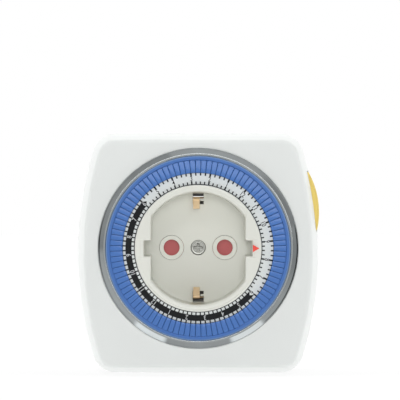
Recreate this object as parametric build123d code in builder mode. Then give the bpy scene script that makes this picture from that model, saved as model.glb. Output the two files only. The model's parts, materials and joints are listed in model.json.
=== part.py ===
from build123d import *
import math
import os

# A plug-in 24 hour timer for round earthed sockets, in millimetres.
# The origin is the middle of the face that the plug pins stand on. The pins point along +Y and
# the dial faces -Y. A "height" is the distance forward from the origin, along -Y.

# Housing
face_width = 80.4
face_height = 79.9
side_radius = 123.0  # bow of the two side walls
corner_radius = 5.5
dial_rise = 1.95  # dial axis above the middle of the face
housing_depth = 38.0
front_depth = 19.0  # part of the depth that belongs to the front cover
wall = 2.2
front_draft = 8.4
rear_draft = 3.0
front_edge_radius = 1.3
rear_edge_radius = 2.4
seam_gap = 0.1
seat_gap = 0.1  # left between stacked parts of one body

# Housing screws
screw_inset = 5.5  # from the side and the top of the face outline to the screw axis
boss_radius = 4.0
screw_radius = 1.4
screw_bite = 5.2  # length of a screw in the front cover
screw_head_radius = 2.5
screw_head_height = 1.9
screw_recess = 6.0  # depth of the screw heads below the back
screw_play = 0.15

# Plug and the pin circle that plug and socket share
pin_spacing = 19.0
pin_radius = 2.4
pin_length = 19.0
pin_root = 12.0  # length of a pin inside the plug
pin_root_radius = 2.6
pin_root_sink = 0.4  # below the plug's face, where the root starts to widen
pin_mouth_radius = 3.1  # countersink round a pin in the plug's face
pin_end_radius = 1.8  # rounding of a pin's free end
pin_collar_radius = 3.5
pin_collar_height = 1.2
pin_boss_radius = 4.4
pin_boss_height = 8.0
plug_length = 17.0
plug_radius = 18.5
plug_flat = 15.9
rib_reach = 18.4
rib_width = 4.6
plug_face_thickness = 3.0
plug_side_wall = 1.8
plug_edge = 0.8
pillar_radius = 3.0

# Socket well
well_radius_play = 1.05
well_flat_play = 0.6
well_rib_play = 0.6
well_draft = 1.0
socket_depth = 17.5
floor_thickness = 2.5
sleeve_radius = 21.7
collar_radius = 22.3
collar_thickness = 1.2
collar_stand = 2.5  # collar rim forward of the front face
collar_edge = 0.35
hole_radius = 2.85
cone_radius = 4.3
cone_angle = 122.0
centre_head_radius = 2.6
centre_head_height = 1.5
centre_head_sink = 0.3
centre_head_edge = 0.35
centre_screw_radius = 1.4
centre_screw_bite = 10.5  # length of the centre screw in the plug's pillar
pointer_reach = 21.5
pointer_length = 2.3
pointer_width = 2.6
pointer_depth = 0.45
pointer_stand = 0.08
inlay_play = 0.05

# Earth contacts
strip_offset = 17.8  # earth strip's middle from the axis
strip_thickness = 0.7
strip_width = 5.0
strip_start = 1.2
finger_width = 2.3
finger_shift = -0.6
finger_bend_offset = 14.9
finger_bend_rise = 7.5  # above the well's floor
finger_tip_rise = 13.8
slot_half_width = 1.95
slot_start = 15.5
slot_end = 19.4
slot_rib_width = 0.7
slot_rib_offset = 17.0
slot_rib_start = 0.78  # free end of the rib, from the slot's middle line
slot_play = 0.25
link_inner_radius = 15.0
link_thickness = 0.6

# Shutter
shutter_thickness = 1.5
shutter_play = 0.3
shutter_hub_radius = 4.6
shutter_arm_width = 6.6
shutter_reach = 13.2
shutter_bore_play = 0.08
hub_pillar_radius = 3.2
spring_radius = 6.1
spring_wire = 0.6
spring_start_angle = 35.0
spring_sweep_angle = 290.0

# Contact base
base_reach = 2.6  # edge of the base beyond the middle of the earth strips
base_lift = 1.8  # space under the base, above the rear cover's floor
base_rim = 1.8
pocket_length = 7.6
pocket_width = 6.4
foot_width = 1.8

# Contacts
contact_width = 5.0
contact_thickness = 0.6
contact_gap = 5.2
contact_pinch = 5.0
contact_sink = 2.0  # mouth of the jaws below the base's top
lip_length = 1.8  # flared mouth of the jaws
jaw_length = 5.4  # from the mouth down to where the leaves run straight
contact_bend = 0.36
contact_lift = 0.9  # bottom of the jaws above the housing's back
tail_rise = 3.0  # above the base's back
riser_gap = 0.3
near_riser = 25.2
far_riser = 32.8
pad_length = 2.7
rivet_radius = 1.25
rivet_height = 0.6
moving_rivet_height = 0.5
break_gap = 1.35  # contact gap while the switch is off

# Dial
dial_radius = 32.3
dial_rim_stand = 0.3  # dial rim forward of the front face
dial_bore_play = 0.15
dial_lip = 0.55
ring_outer_radius = 26.5
ring_thickness = 0.8
ring_play = 0.05
channel_radius = 30.85
channel_depth = 5.3
web_thickness = 2.0
hub_wall = 1.3
skirt_depth = 2.8
skirt_inner_radius = 29.45
dial_edge = 0.35

# Trippers: one for each quarter of an hour
hours = 24
tabs_per_hour = 4
pointer_time = 8.625  # hour under the pointer, at the middle of a tripper
tab_travel = 2.0
tab_gap = 0.22
tab_play = 0.1
stem_inner_radius = 27.3
stem_length = 1.8
stem_width = 0.9
stem_play = 0.1
stem_set_back = 0.4  # stem end in front of the dial's back while up

# Gear train
ring_teeth = 96
ring_module = 0.65
pinion_teeth = 12
wheel_teeth = 36
wheel_module = 0.4
motor_teeth = 12
pressure_angle = 20.0
addendum = 0.8
dedendum = 1.15
backlash = 0.16  # share of a module taken off each tooth's thickness
tooth_sink = 0.1  # share of a module that a tooth's foot reaches into its wheel
train_angle = -135.0
motor_angle = -20.0
wheel_thickness = 1.6
gear_play = 0.4
shaft_radius = 0.75
shaft_play = 0.05
shaft_boss_radius = 2.0
shaft_boss_height = 2.0
output_radius = 0.9
motor_bearing_radius = 2.4

# Gear motor
motor_radius = 10.0
motor_height = 12.0
motor_offset = 2.0  # output shaft off the middle of the can
motor_edge = 1.0
ear_reach = 12.2
ear_radius = 2.3
ear_thickness = 1.2
motor_screw_radius = 0.9
motor_screw_head = 1.7
terminal_width = 2.4
terminal_length = 3.0

# Movement plate
movement_depth = 8.4  # from the dial's back to the front of the plate
plate_thickness = 1.6
plate_play = 0.5
rail_width = 1.4
rail_gap = 0.1

# Bezel
bezel_inner_radius = 32.6
bezel_width = 2.6
bezel_neck = 1.2
bezel_seat = 1.0
bezel_stand = 2.1
bezel_rim_stand = 0.7
bezel_play = 0.1
bezel_rim_width = 0.55
bezel_rim_step = 0.35
bezel_lip_width = 0.75
bezel_lip_flat = 0.3
bezel_lip_drop = 0.4

# Trip lever and bridge
pivot_drop = 13.0  # lever pivot below the dial axis
nose_drop = 1.7  # tip of the nose behind the dial's back
pivot_radius = 0.8
lever_width = 2.5
lever_middle = 28.25
lever_thickness = 1.5
lever_rise = 0.5  # back of the lever forward of its pivot
lever_hub_radius = 1.8
lever_tail = 12.3
lever_tail_reach = 34.2
lever_tail_width = 3.1
nose_height = 1.6
nose_tip = 0.4
nose_root = 0.8
lug_thickness = 1.3
lug_gap = 0.3
lug_radius = 1.9
leaf_start = 3.8  # foot of the leaf spring, from the pivot
leaf_length = 3.0
leaf_width = 1.7
leaf_thickness = 0.3
bridge_width = 4.0
bridge_thickness = 0.6
bridge_overhang = 0.9

# Override slide
slide_rise = 18.35  # middle of the slide above the middle of the face
slide_length = 20.8
slide_height = 8.4
slide_bulge = 2.6
slide_travel = 2.0
slide_play = 0.25
slide_flange = 1.4
slide_flange_thickness = 1.2
slide_leg_width = 1.8
slide_leg_thickness = 1.5
slide_leg_rise = 11.2
slide_leg_reach = 31.8
slide_set_back = 8.35  # slide's front end behind the front face

# Heights and places worked out from the sizes above
front_height = plug_length + housing_depth
rear_depth = housing_depth - front_depth
parting_height = plug_length + rear_depth
rear_floor = plug_length + wall
rim_height = front_height + collar_stand
floor_height = rim_height - socket_depth
floor_back = floor_height - floor_thickness
face_middle = -dial_rise
bezel_outer_radius = bezel_inner_radius + bezel_width
half_pitch = pin_spacing / 2
pin_root_taper = math.degrees(math.atan2(pin_root_radius - pin_radius, pin_root_sink))
pointer_step = 360 / hours
tab_count = hours * tabs_per_hour
tab_pitch = 360 / tab_count

dial_rim = front_height + dial_rim_stand
channel_floor = dial_rim - channel_depth
dial_back = channel_floor - web_thickness
skirt_back = dial_back - skirt_depth
dial_bore = sleeve_radius + dial_bore_play
seat_radius = dial_bore + dial_lip
ring_seat = front_height - ring_thickness
channel_inner = ring_outer_radius + ring_play
plate_front = dial_back - movement_depth
plate_back = plate_front - plate_thickness

base_radius = strip_offset + base_reach
base_back = rear_floor + base_lift
base_top = floor_back - shutter_thickness - 2 * shutter_play
shutter_back = base_top + shutter_play
contact_top = base_top - contact_sink
contact_floor = plug_length + contact_lift
tail_height = base_back + tail_rise
strip_height = rear_floor + base_lift / 2

mesh_radius = ring_module * ring_teeth / 2
drive_distance = ring_module * (ring_teeth + pinion_teeth) / 2
train_x = drive_distance * math.cos(math.radians(train_angle))
train_z = drive_distance * math.sin(math.radians(train_angle))
wheel_distance = wheel_module * (wheel_teeth + motor_teeth) / 2
output_x = train_x + wheel_distance * math.cos(math.radians(motor_angle))
output_z = train_z + wheel_distance * math.sin(math.radians(motor_angle))
motor_x = output_x - motor_offset * math.cos(math.radians(motor_angle))
motor_z = output_z - motor_offset * math.sin(math.radians(motor_angle))
wheel_back = plate_front + shaft_boss_height - gear_play / 2
wheel_front = wheel_back + wheel_thickness
pinion_front = dial_back - gear_play

nose_top = dial_back - nose_drop
lever_front = nose_top - nose_height
lever_back = lever_front - lever_thickness
pivot_height = lever_back - lever_rise
nose_angle = -tab_pitch / 2
bridge_back = lever_back - bridge_thickness
moving_rivet_back = bridge_back - moving_rivet_height
pad_height = moving_rivet_back - break_gap - rivet_height
slide_angle = math.degrees(math.asin(slide_rise / side_radius))
slide_centre_x = face_width / 2 - side_radius
window_height = slide_height + slide_travel + 2 * slide_play
slide_front = front_height - slide_set_back
slide_back = slide_front - slide_height
leg_back = lever_front + seat_gap


def forward(height, x=0.0, z=0.0):
    """Plane at a height, facing forward: its x is +X and its y is +Z."""
    return Plane(origin=(x, -height, z), x_dir=(1, 0, 0), z_dir=(0, -1, 0))


def backward(height, x=0.0, z=0.0):
    """Plane at a height, facing the wall: its x is +X and its y is -Z."""
    return Plane(origin=(x, -height, z), x_dir=(1, 0, 0), z_dir=(0, 1, 0))


def lengthwise(z=0.0):
    """Plane through the axis for turned profiles and bent strips: x is +X, y is the height."""
    return Plane(origin=(0, 0, z), x_dir=(1, 0, 0), z_dir=(0, 0, -1))


def upright(x=0.0):
    """Plane across the width: its x is +Z and its y is the height, and it faces +X."""
    return Plane(origin=(x, 0, 0), x_dir=(0, 0, 1), z_dir=(1, 0, 0))


def beside_slide(height):
    """Plane at a height whose x runs out through the middle of the override slide."""
    angle = math.radians(slide_angle)
    return Plane(
        origin=(slide_centre_x, -height, face_middle),
        x_dir=(math.cos(angle), 0, math.sin(angle)),
        z_dir=(0, -1, 0),
    )


def flare(height):
    """Outward growth of the front cover's wall from the front face back to a height."""
    return (front_height - height) * math.tan(math.radians(front_draft))


def inner_reach(height, half_length):
    """Distance from the side arc's centre out to a chord that touches the wall inside."""
    return math.sqrt((side_radius + flare(height) - wall) ** 2 - half_length**2)


def face_outline(inset):
    """Face outline moved inwards: straight top and bottom, bowed sides, rounded corners."""
    half_height = face_height / 2 - inset
    middle = face_width / 2 - inset
    radius = side_radius - inset
    corner = middle - radius + math.sqrt(radius**2 - half_height**2)
    with BuildSketch(mode=Mode.PRIVATE) as outline:
        with BuildLine():
            ThreePointArc((corner, -half_height), (middle, 0), (corner, half_height))
            Line((corner, half_height), (-corner, half_height))
            ThreePointArc((-corner, half_height), (-middle, 0), (-corner, -half_height))
            Line((-corner, -half_height), (corner, -half_height))
        make_face()
        fillet(outline.vertices(), max(corner_radius - inset, wall / 2))
    return outline.sketch


def corner_place(inset):
    """Distances across and up from the middle of the face to a point inset from both corner walls."""
    up = face_height / 2 - inset
    across = face_width / 2 - side_radius + math.sqrt((side_radius - inset) ** 2 - up**2)
    return across, up


def guide_section(radius, flat, reach, width):
    """Round section with a flat on each side and a guide rib down the middle of each flat."""
    with BuildSketch(mode=Mode.PRIVATE) as section:
        Circle(radius)
        Rectangle(2 * flat, 2 * radius, mode=Mode.INTERSECT)
        Rectangle(2 * reach, width)
    return section.sketch


def gear_outline(teeth, module, root_steps, turn=0.0):
    """Spur gear with involute flanks, one tooth centred on the angle turn."""
    pitch_radius = module * teeth / 2
    base_circle = pitch_radius * math.cos(math.radians(pressure_angle))
    root = pitch_radius - dedendum * module
    tip = pitch_radius + addendum * module
    half_tooth = (math.pi / 2 - backlash) / teeth
    involute = math.tan(math.radians(pressure_angle)) - math.radians(pressure_angle)
    flank = []
    foot = root - tooth_sink * module
    for step in range(root_steps + 1):
        radius = foot + (tip - foot) * step / root_steps
        unwound = math.acos(min(1.0, base_circle / radius))
        angle = half_tooth + involute - math.tan(unwound) + unwound
        flank.append((radius * math.cos(angle), radius * math.sin(angle)))
    tooth = flank + [(x, -y) for x, y in reversed(flank)]
    with BuildSketch(mode=Mode.PRIVATE) as gear:
        Circle(root)
        with PolarLocations(0, teeth, start_angle=turn):
            Polygon(*tooth, align=None)
    return gear.sketch


def bent_strip(points, bend, thickness):
    """Side view of a strip bent from sheet, along its middle line."""
    with BuildSketch(mode=Mode.PRIVATE) as side_view:
        with BuildLine():
            FilletPolyline(*points, radius=bend)
        trace(line_width=thickness)
    return side_view.sketch


cap_chord = side_radius + flare(slide_front)
flange_half = slide_length / 2 + slide_flange
flange_face = inner_reach(slide_front + slide_flange, flange_half) - slide_play
flange_back = flange_face - slide_flange_thickness
screw_x, screw_z = corner_place(screw_inset)
screw_places = [
    (side * screw_x, face_middle + end * screw_z) for side in (-1, 1) for end in (-1, 1)
]
pin_places = [(-half_pitch, 0), (half_pitch, 0)]

# Front cover: drafted shell with the bezel's seat, screw bosses, the gear shaft's boss and the
# window of the override slide.
with BuildPart() as front_cover:
    with BuildSketch(forward(parting_height, z=face_middle)):
        add(face_outline(-flare(parting_height)))
    extrude(amount=front_depth, taper=front_draft)
    fillet(front_cover.faces().sort_by(Axis.Y)[0].edges(), front_edge_radius)
    with BuildSketch(forward(parting_height, z=face_middle)):
        add(face_outline(wall - flare(parting_height)))
    extrude(amount=front_depth - wall, taper=front_draft, mode=Mode.SUBTRACT)
    with BuildSketch(forward(plate_front + seat_gap)):
        with Locations(*screw_places):
            Circle(boss_radius)
    extrude(amount=front_height - wall / 2 - plate_front - seat_gap)
    with BuildSketch(forward(dial_back + seat_gap)):
        with Locations((train_x, train_z)):
            Circle(shaft_boss_radius)
    extrude(amount=front_height - wall / 2 - dial_back - seat_gap)
    with Locations(forward(front_height)):
        CounterBoreHole(
            radius=bezel_inner_radius + bezel_neck + bezel_play,
            counter_bore_radius=bezel_outer_radius + bezel_play,
            counter_bore_depth=bezel_seat,
            depth=2 * wall,
        )
    with Locations(*[backward(plate_front + seat_gap, x, z) for x, z in screw_places]):
        Hole(screw_radius + shaft_play, depth=2 * screw_bite)
    with Locations(backward(dial_back + seat_gap, train_x, train_z)):
        Hole(shaft_radius + shaft_play, depth=wall)
    with BuildSketch(beside_slide(slide_front + slide_play)):
        with Locations((side_radius, 0)):
            Rectangle(4 * wall, slide_length + 2 * slide_play)
    extrude(amount=-window_height, mode=Mode.SUBTRACT)
front_cover.part.label = "front_cover"

# Rear cover: the other half of the housing with the hollow plug body moulded on.
with BuildPart() as rear_cover:
    with BuildSketch(backward(parting_height - seam_gap, z=face_middle)):
        add(face_outline(-flare(parting_height)))
    extrude(amount=rear_depth - seam_gap, taper=rear_draft)
    fillet(rear_cover.faces().sort_by(Axis.Y)[-1].edges(), rear_edge_radius)
    with BuildSketch(forward(0)):
        add(guide_section(plug_radius, plug_flat, rib_reach, rib_width))
    extrude(amount=rear_floor)
    chamfer(rear_cover.faces().sort_by(Axis.Y)[-1].edges(), plug_edge)
    with BuildSketch(backward(parting_height, z=face_middle)):
        add(face_outline(wall - flare(parting_height)))
    extrude(amount=rear_depth - wall, taper=rear_draft, mode=Mode.SUBTRACT)
    with BuildSketch(forward(plug_face_thickness)):
        Circle(plug_radius - wall)
        Rectangle(2 * (plug_flat - plug_side_wall), 2 * plug_radius, mode=Mode.INTERSECT)
    extrude(amount=plug_length, mode=Mode.SUBTRACT)
    with BuildSketch(forward(plug_face_thickness / 2)):
        with Locations(*pin_places):
            Circle(pin_boss_radius)
    extrude(amount=pin_boss_height - plug_face_thickness / 2)
    with BuildSketch(forward(plug_face_thickness / 2)):
        Circle(pillar_radius)
    extrude(amount=base_back - seat_gap - plug_face_thickness / 2)
    with BuildSketch(forward(plug_length + wall / 2)):
        with Locations(*screw_places):
            Circle(boss_radius)
    extrude(amount=plate_back - seat_gap - plug_length - wall / 2)
    with Locations(*[backward(0, x, z) for x, z in pin_places]):
        CounterSinkHole(
            radius=pin_root_radius + shaft_play,
            counter_sink_radius=pin_mouth_radius,
            depth=pin_boss_height,
            counter_sink_angle=90,
        )
    with Locations(*[backward(plug_length, x, z) for x, z in screw_places]):
        CounterBoreHole(
            radius=screw_radius + screw_play,
            counter_bore_radius=screw_head_radius + screw_play,
            counter_bore_depth=screw_recess + screw_head_height,
            depth=housing_depth,
        )
    with Locations(forward(base_back - seat_gap)):
        Hole(centre_screw_radius + shaft_play, depth=centre_screw_bite + wall)
    with BuildSketch(forward(0)):
        with GridLocations(0, 2 * strip_offset, 1, 2):
            Rectangle(strip_width + 2 * slot_play, strip_thickness + 4 * slot_play)
    extrude(amount=rear_floor + wall, mode=Mode.SUBTRACT)
rear_cover.part.label = "rear_cover"

# Socket insert: collar, sleeve and the drafted well with its flats, guide slots and floor.
with BuildPart() as socket_insert:
    with BuildSketch(lengthwise()):
        with BuildLine():
            Polyline(
                (0, floor_back),
                (sleeve_radius, floor_back),
                (sleeve_radius, rim_height - collar_thickness),
                (collar_radius, rim_height - collar_thickness),
                (collar_radius, rim_height),
                (0, rim_height),
                close=True,
            )
        make_face()
    revolve(axis=Axis.Y)
    chamfer(socket_insert.edges().group_by(Axis.Y)[0], collar_edge)
    with BuildSketch(forward(floor_height)):
        well = guide_section(
            plug_radius + well_radius_play,
            plug_flat + well_flat_play,
            rib_reach + well_rib_play,
            rib_width + well_rib_play,
        )
        add(well)
    extrude(amount=socket_depth, taper=-well_draft, mode=Mode.SUBTRACT)
    with Locations(*[forward(floor_height, x, z) for x, z in pin_places]):
        CounterSinkHole(hole_radius, cone_radius, counter_sink_angle=cone_angle)
    with Locations(forward(floor_height)):
        CounterBoreHole(
            radius=centre_screw_radius + screw_play,
            counter_bore_radius=centre_head_radius + screw_play,
            counter_bore_depth=centre_head_height - screw_play + centre_head_sink,
        )
    with BuildSketch(forward(floor_height)):
        for side in (-1, 1):
            with Locations((0, side * (slot_start + slot_end) / 2)):
                Rectangle(2 * slot_half_width, slot_end - slot_start)
            with Locations(((slot_half_width + slot_rib_start) / 2, side * slot_rib_offset)):
                Rectangle(slot_half_width - slot_rib_start, slot_rib_width, mode=Mode.SUBTRACT)
    extrude(amount=-floor_thickness, mode=Mode.SUBTRACT)
    with BuildSketch(forward(rim_height)):
        with BuildLine():
            Polyline(
                (pointer_reach + inlay_play, 0),
                (pointer_reach - pointer_length - inlay_play, pointer_width / 2 + inlay_play),
                (pointer_reach - pointer_length - inlay_play, -pointer_width / 2 - inlay_play),
                close=True,
            )
        make_face()
    extrude(amount=-pointer_depth, mode=Mode.SUBTRACT)
socket_insert.part.label = "socket_insert"

# Pointer: a small triangle let into the collar.
with BuildPart() as time_pointer:
    with BuildSketch(forward(rim_height - pointer_depth)):
        with BuildLine():
            Polyline(
                (pointer_reach, 0),
                (pointer_reach - pointer_length, pointer_width / 2),
                (pointer_reach - pointer_length, -pointer_width / 2),
                close=True,
            )
        make_face()
    extrude(amount=pointer_depth + pointer_stand)
time_pointer.part.label = "time_pointer"

# Bezel: bevelled ring that sits in the front cover and frames the dial.
with BuildPart() as bezel_ring:
    seat_height = front_height - bezel_seat
    neck_radius = bezel_inner_radius + bezel_neck
    crest = front_height + bezel_stand
    rim_crest = front_height + bezel_rim_stand + bezel_rim_step
    with BuildSketch(lengthwise()):
        with BuildLine():
            Polyline(
                (bezel_inner_radius, front_height - wall + bezel_play),
                (neck_radius, front_height - wall + bezel_play),
                (neck_radius, seat_height),
                (bezel_outer_radius, seat_height),
                (bezel_outer_radius, front_height + bezel_rim_stand),
                (bezel_outer_radius - bezel_rim_width, rim_crest),
                (bezel_inner_radius + bezel_lip_width, crest),
                (bezel_inner_radius + bezel_lip_flat, crest),
                (bezel_inner_radius, crest - bezel_lip_drop),
                close=True,
            )
        make_face()
    revolve(axis=Axis.Y)
bezel_ring.part.label = "bezel_ring"

# Centre screw: holds the socket insert and the contact base down on the plug's pillar.
centre_screw_seat = floor_height - centre_head_height - centre_head_sink + screw_play
with BuildPart() as centre_screw:
    with BuildSketch(forward(centre_screw_seat)):
        Circle(centre_head_radius)
    extrude(amount=centre_head_height)
    chamfer(centre_screw.edges().group_by(Axis.Y)[0], centre_head_edge)
    with BuildSketch(forward(centre_screw_seat)):
        Circle(centre_screw_radius)
    extrude(amount=-(centre_screw_seat - base_back + seat_gap + centre_screw_bite))
centre_screw.part.label = "centre_screw"

# Housing screws, driven in from the back.
screw_seat = plug_length + screw_recess + screw_head_height
with BuildPart() as housing_screws:
    with BuildSketch(forward(screw_seat)):
        with Locations(*screw_places):
            Circle(screw_head_radius)
    extrude(amount=-screw_head_height)
    with BuildSketch(forward(screw_seat)):
        with Locations(*screw_places):
            Circle(screw_radius)
    extrude(amount=plate_front + seat_gap + screw_bite - screw_seat)
housing_screws.part.label = "housing_screws"

# Contact base: moulded block with the contact pockets, the shutter's pillar and the screw hole.
with BuildPart() as contact_base:
    with BuildSketch(forward(base_back)):
        Circle(base_radius)
    extrude(amount=base_top - base_back)
    with BuildSketch(forward(base_top)):
        Circle(base_radius)
        Circle(base_radius - base_rim, mode=Mode.SUBTRACT)
        Circle(hub_pillar_radius)
    extrude(amount=floor_back - base_top - seat_gap)
    with BuildSketch(forward(rear_floor + seat_gap / 2)):
        Circle(base_radius)
        Circle(base_radius - foot_width, mode=Mode.SUBTRACT)
    extrude(amount=base_lift - seat_gap / 2)
    with BuildSketch(forward(base_back - base_lift)):
        with Locations(*pin_places):
            Rectangle(pocket_length, pocket_width)
        with GridLocations(0, 2 * strip_offset, 1, 2):
            Rectangle(strip_width + 2 * slot_play, strip_thickness + 2 * slot_play)
    extrude(amount=floor_back - base_back + base_lift, mode=Mode.SUBTRACT)
    with BuildSketch(forward(tail_height - contact_thickness)):
        with Locations((half_pitch + base_radius / 2, 0)):
            Rectangle(base_radius, contact_width + 2 * slot_play)
    extrude(amount=floor_back - tail_height + contact_thickness, mode=Mode.SUBTRACT)
    with BuildSketch(forward(rear_floor)):
        with Locations((base_radius, 0)):
            Rectangle(3 * foot_width, contact_width + 2 * slot_play)
    extrude(amount=base_lift, mode=Mode.SUBTRACT)
    with Locations(forward(floor_back - seat_gap)):
        Hole(centre_screw_radius + screw_play)
    with BuildSketch(forward(base_top)):
        Circle(spring_radius + 2 * spring_wire)
        Circle(spring_radius - spring_wire, mode=Mode.SUBTRACT)
    extrude(amount=-2 * spring_wire, mode=Mode.SUBTRACT)
contact_base.part.label = "contact_base"

# Shutter: turns aside on the base's pillar when both pins of a plug push it.
with BuildPart() as shutter:
    with BuildSketch(forward(shutter_back)):
        Circle(shutter_reach)
        Rectangle(2 * shutter_reach, shutter_arm_width, mode=Mode.INTERSECT)
        Circle(shutter_hub_radius)
    extrude(amount=shutter_thickness)
    with Locations(forward(shutter_back + shutter_thickness)):
        Hole(hub_pillar_radius + shutter_bore_play)
shutter.part.label = "shutter"

# Return spring of the shutter, a bent wire in the base's groove.
with BuildPart() as shutter_spring:
    with BuildSketch(forward(base_top - 1.5 * spring_wire)):
        with BuildLine():
            CenterArc((0, 0), spring_radius + spring_wire / 2, spring_start_angle, spring_sweep_angle)
        trace(line_width=spring_wire)
    extrude(amount=spring_wire)
shutter_spring.part.label = "shutter_spring"

# Earth strips: from the plug's groove through the housing to a sprung finger in the well.
earth_strips = []
for end, place in ((1, "top"), (-1, "bottom")):
    with BuildPart() as earth_strip:
        with BuildSketch(upright(finger_shift - finger_width / 2)):
            side_view = bent_strip(
                [
                    (end * strip_offset, base_back),
                    (end * strip_offset, floor_height + strip_thickness),
                    (end * finger_bend_offset, floor_height + finger_bend_rise),
                    (end * (strip_offset + strip_thickness / 2), floor_height + finger_tip_rise),
                ],
                strip_thickness,
                strip_thickness,
            )
            add(side_view)
        extrude(amount=finger_width)
        with BuildSketch(forward(strip_start)):
            with Locations((0, end * strip_offset)):
                Rectangle(strip_width, strip_thickness)
        extrude(amount=base_top - strip_start)
    earth_strip.part.label = f"earth_strip_{place}"
    earth_strips.append(earth_strip.part)

# Earth link: half ring behind the floor that joins the two strips.
with BuildPart() as earth_link:
    with BuildSketch(forward(floor_back - seat_gap - link_thickness)):
        Circle(strip_offset - strip_thickness / 2 - seat_gap / 2)
        Circle(link_inner_radius, mode=Mode.SUBTRACT)
        with Locations((base_radius + finger_shift + finger_width / 2, 0)):
            Rectangle(2 * base_radius, 2 * base_radius, mode=Mode.SUBTRACT)
    extrude(amount=link_thickness)
earth_link.part.label = "earth_link"

# Plug pins: round, with a collar that seats on the boss inside the plug and a domed end.
pins = []
for (x, z), place in zip(pin_places, ("left", "right")):
    with BuildPart() as plug_pin:
        with BuildSketch(backward(0, x, z)):
            Circle(pin_radius)
        extrude(amount=pin_length)
        fillet(plug_pin.edges().group_by(Axis.Y)[-1], pin_end_radius)
        with BuildSketch(backward(pin_root_sink, x, z)):
            Circle(pin_root_radius)
        extrude(amount=pin_root_sink, taper=pin_root_taper)
        with BuildSketch(forward(pin_root_sink, x, z)):
            Circle(pin_root_radius)
        extrude(amount=pin_root - pin_root_sink)
        with BuildSketch(forward(pin_boss_height, x, z)):
            Circle(pin_collar_radius)
        extrude(amount=pin_collar_height)
    plug_pin.part.label = f"plug_pin_{place}"
    pins.append(plug_pin.part)


def contact_jaws(x):
    """Two sprung leaves and the floor between them, gripping a pin at x."""
    reach = (contact_gap + contact_thickness) / 2
    pinch = (contact_pinch + contact_thickness) / 2
    return bent_strip(
        [
            (x - reach - contact_thickness / 2, contact_top),
            (x - pinch, contact_top - lip_length),
            (x - reach, contact_top - jaw_length),
            (x - reach, contact_floor),
            (x + reach, contact_floor),
            (x + reach, contact_top - jaw_length),
            (x + pinch, contact_top - lip_length),
            (x + reach + contact_thickness / 2, contact_top),
        ],
        contact_bend,
        contact_thickness,
    )


# Neutral contact: jaws at the left hole, tied straight to the left pin.
pin_end = pin_root + contact_thickness / 2
with BuildPart() as neutral_contact:
    with BuildSketch(lengthwise(contact_width / 2)):
        add(contact_jaws(-half_pitch))
        side_view = bent_strip(
            [
                (-half_pitch - (contact_gap + contact_thickness) / 2, contact_floor),
                (-half_pitch - (contact_gap + contact_thickness) / 2, pin_end),
                (-half_pitch + pin_radius, pin_end),
            ],
            contact_bend,
            contact_thickness,
        )
        add(side_view)
    extrude(amount=contact_width)
neutral_contact.part.label = "neutral_contact"

# Live contact: jaws at the right hole and a tail that carries the near fixed rivet.
with BuildPart() as live_contact:
    with BuildSketch(lengthwise(contact_width / 2)):
        add(contact_jaws(half_pitch))
        side_view = bent_strip(
            [
                (half_pitch + (contact_gap + contact_thickness) / 2, tail_height),
                (near_riser, tail_height),
                (near_riser, pad_height - contact_thickness / 2),
                (near_riser + pad_length, pad_height - contact_thickness / 2),
            ],
            contact_bend,
            contact_thickness,
        )
        add(side_view)
    extrude(amount=contact_width)
    with BuildSketch(forward(pad_height, near_riser + pad_length - rivet_radius)):
        Circle(rivet_radius)
    extrude(amount=rivet_height)
live_contact.part.label = "live_contact"

# Live strip: from the right pin under the base to the far fixed rivet.
with BuildPart() as live_strip:
    inner_riser = half_pitch + (contact_gap + contact_thickness) / 2 + riser_gap + contact_thickness
    with BuildSketch(lengthwise(contact_width / 2)):
        side_view = bent_strip(
            [
                (half_pitch - pin_radius, pin_end),
                (inner_riser, pin_end),
                (inner_riser, strip_height),
                (far_riser, strip_height),
                (far_riser, pad_height - contact_thickness / 2),
                (far_riser - pad_length, pad_height - contact_thickness / 2),
            ],
            contact_bend,
            contact_thickness,
        )
        add(side_view)
    extrude(amount=contact_width)
    with BuildSketch(forward(pad_height, far_riser - pad_length + rivet_radius)):
        Circle(rivet_radius)
    extrude(amount=rivet_height)
live_strip.part.label = "live_strip"

# Movement plate: carries the dial's rail, the gear shaft, the motor and the lever's lugs.
lug_near = lever_middle - lever_width / 2 - lug_gap - lug_thickness
lug_far = lever_middle + lever_width / 2 + lug_gap
with BuildPart() as movement_plate:
    with BuildSketch(forward(plate_back)):
        with Locations((0, face_middle)):
            add(face_outline(wall - flare(plate_back) + plate_play))
        Circle(sleeve_radius + plate_play, mode=Mode.SUBTRACT)
        with Locations(*screw_places):
            Circle(screw_radius + screw_play, mode=Mode.SUBTRACT)
        with Locations((output_x, output_z)):
            Circle(motor_bearing_radius + screw_play, mode=Mode.SUBTRACT)
        with Locations(((near_riser + far_riser) / 2, 0)):
            Rectangle(
                far_riser - near_riser + 2 * contact_thickness,
                contact_width + 4 * slot_play,
                mode=Mode.SUBTRACT,
            )
    extrude(amount=plate_thickness)
    with BuildSketch(beside_slide(plate_back)):
        with Locations((flange_back - slide_play + wall, 0)):
            Rectangle(2 * wall, 2 * flange_half + 4 * slide_play)
    extrude(amount=plate_thickness, mode=Mode.SUBTRACT)
    with BuildSketch(forward(plate_front)):
        Circle(sleeve_radius + plate_play + rail_width)
        Circle(sleeve_radius + plate_play, mode=Mode.SUBTRACT)
    extrude(amount=dial_back - rail_gap - plate_front)
    with BuildSketch(forward(plate_front)):
        with Locations((train_x, train_z)):
            Circle(shaft_boss_radius)
    extrude(amount=wheel_back - gear_play / 2 - plate_front)
    with Locations(forward(wheel_back - gear_play / 2, train_x, train_z)):
        Hole(shaft_radius + shaft_play, depth=plate_thickness)
    for start in (lug_near, lug_far):
        with BuildSketch(upright(start)):
            with Locations((-pivot_drop, (plate_front + pivot_height) / 2)):
                Rectangle(2 * lug_radius, pivot_height - plate_front)
            with Locations((-pivot_drop, pivot_height)):
                Circle(lug_radius)
                Circle(pivot_radius + shaft_play, mode=Mode.SUBTRACT)
        extrude(amount=lug_thickness)
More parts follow.
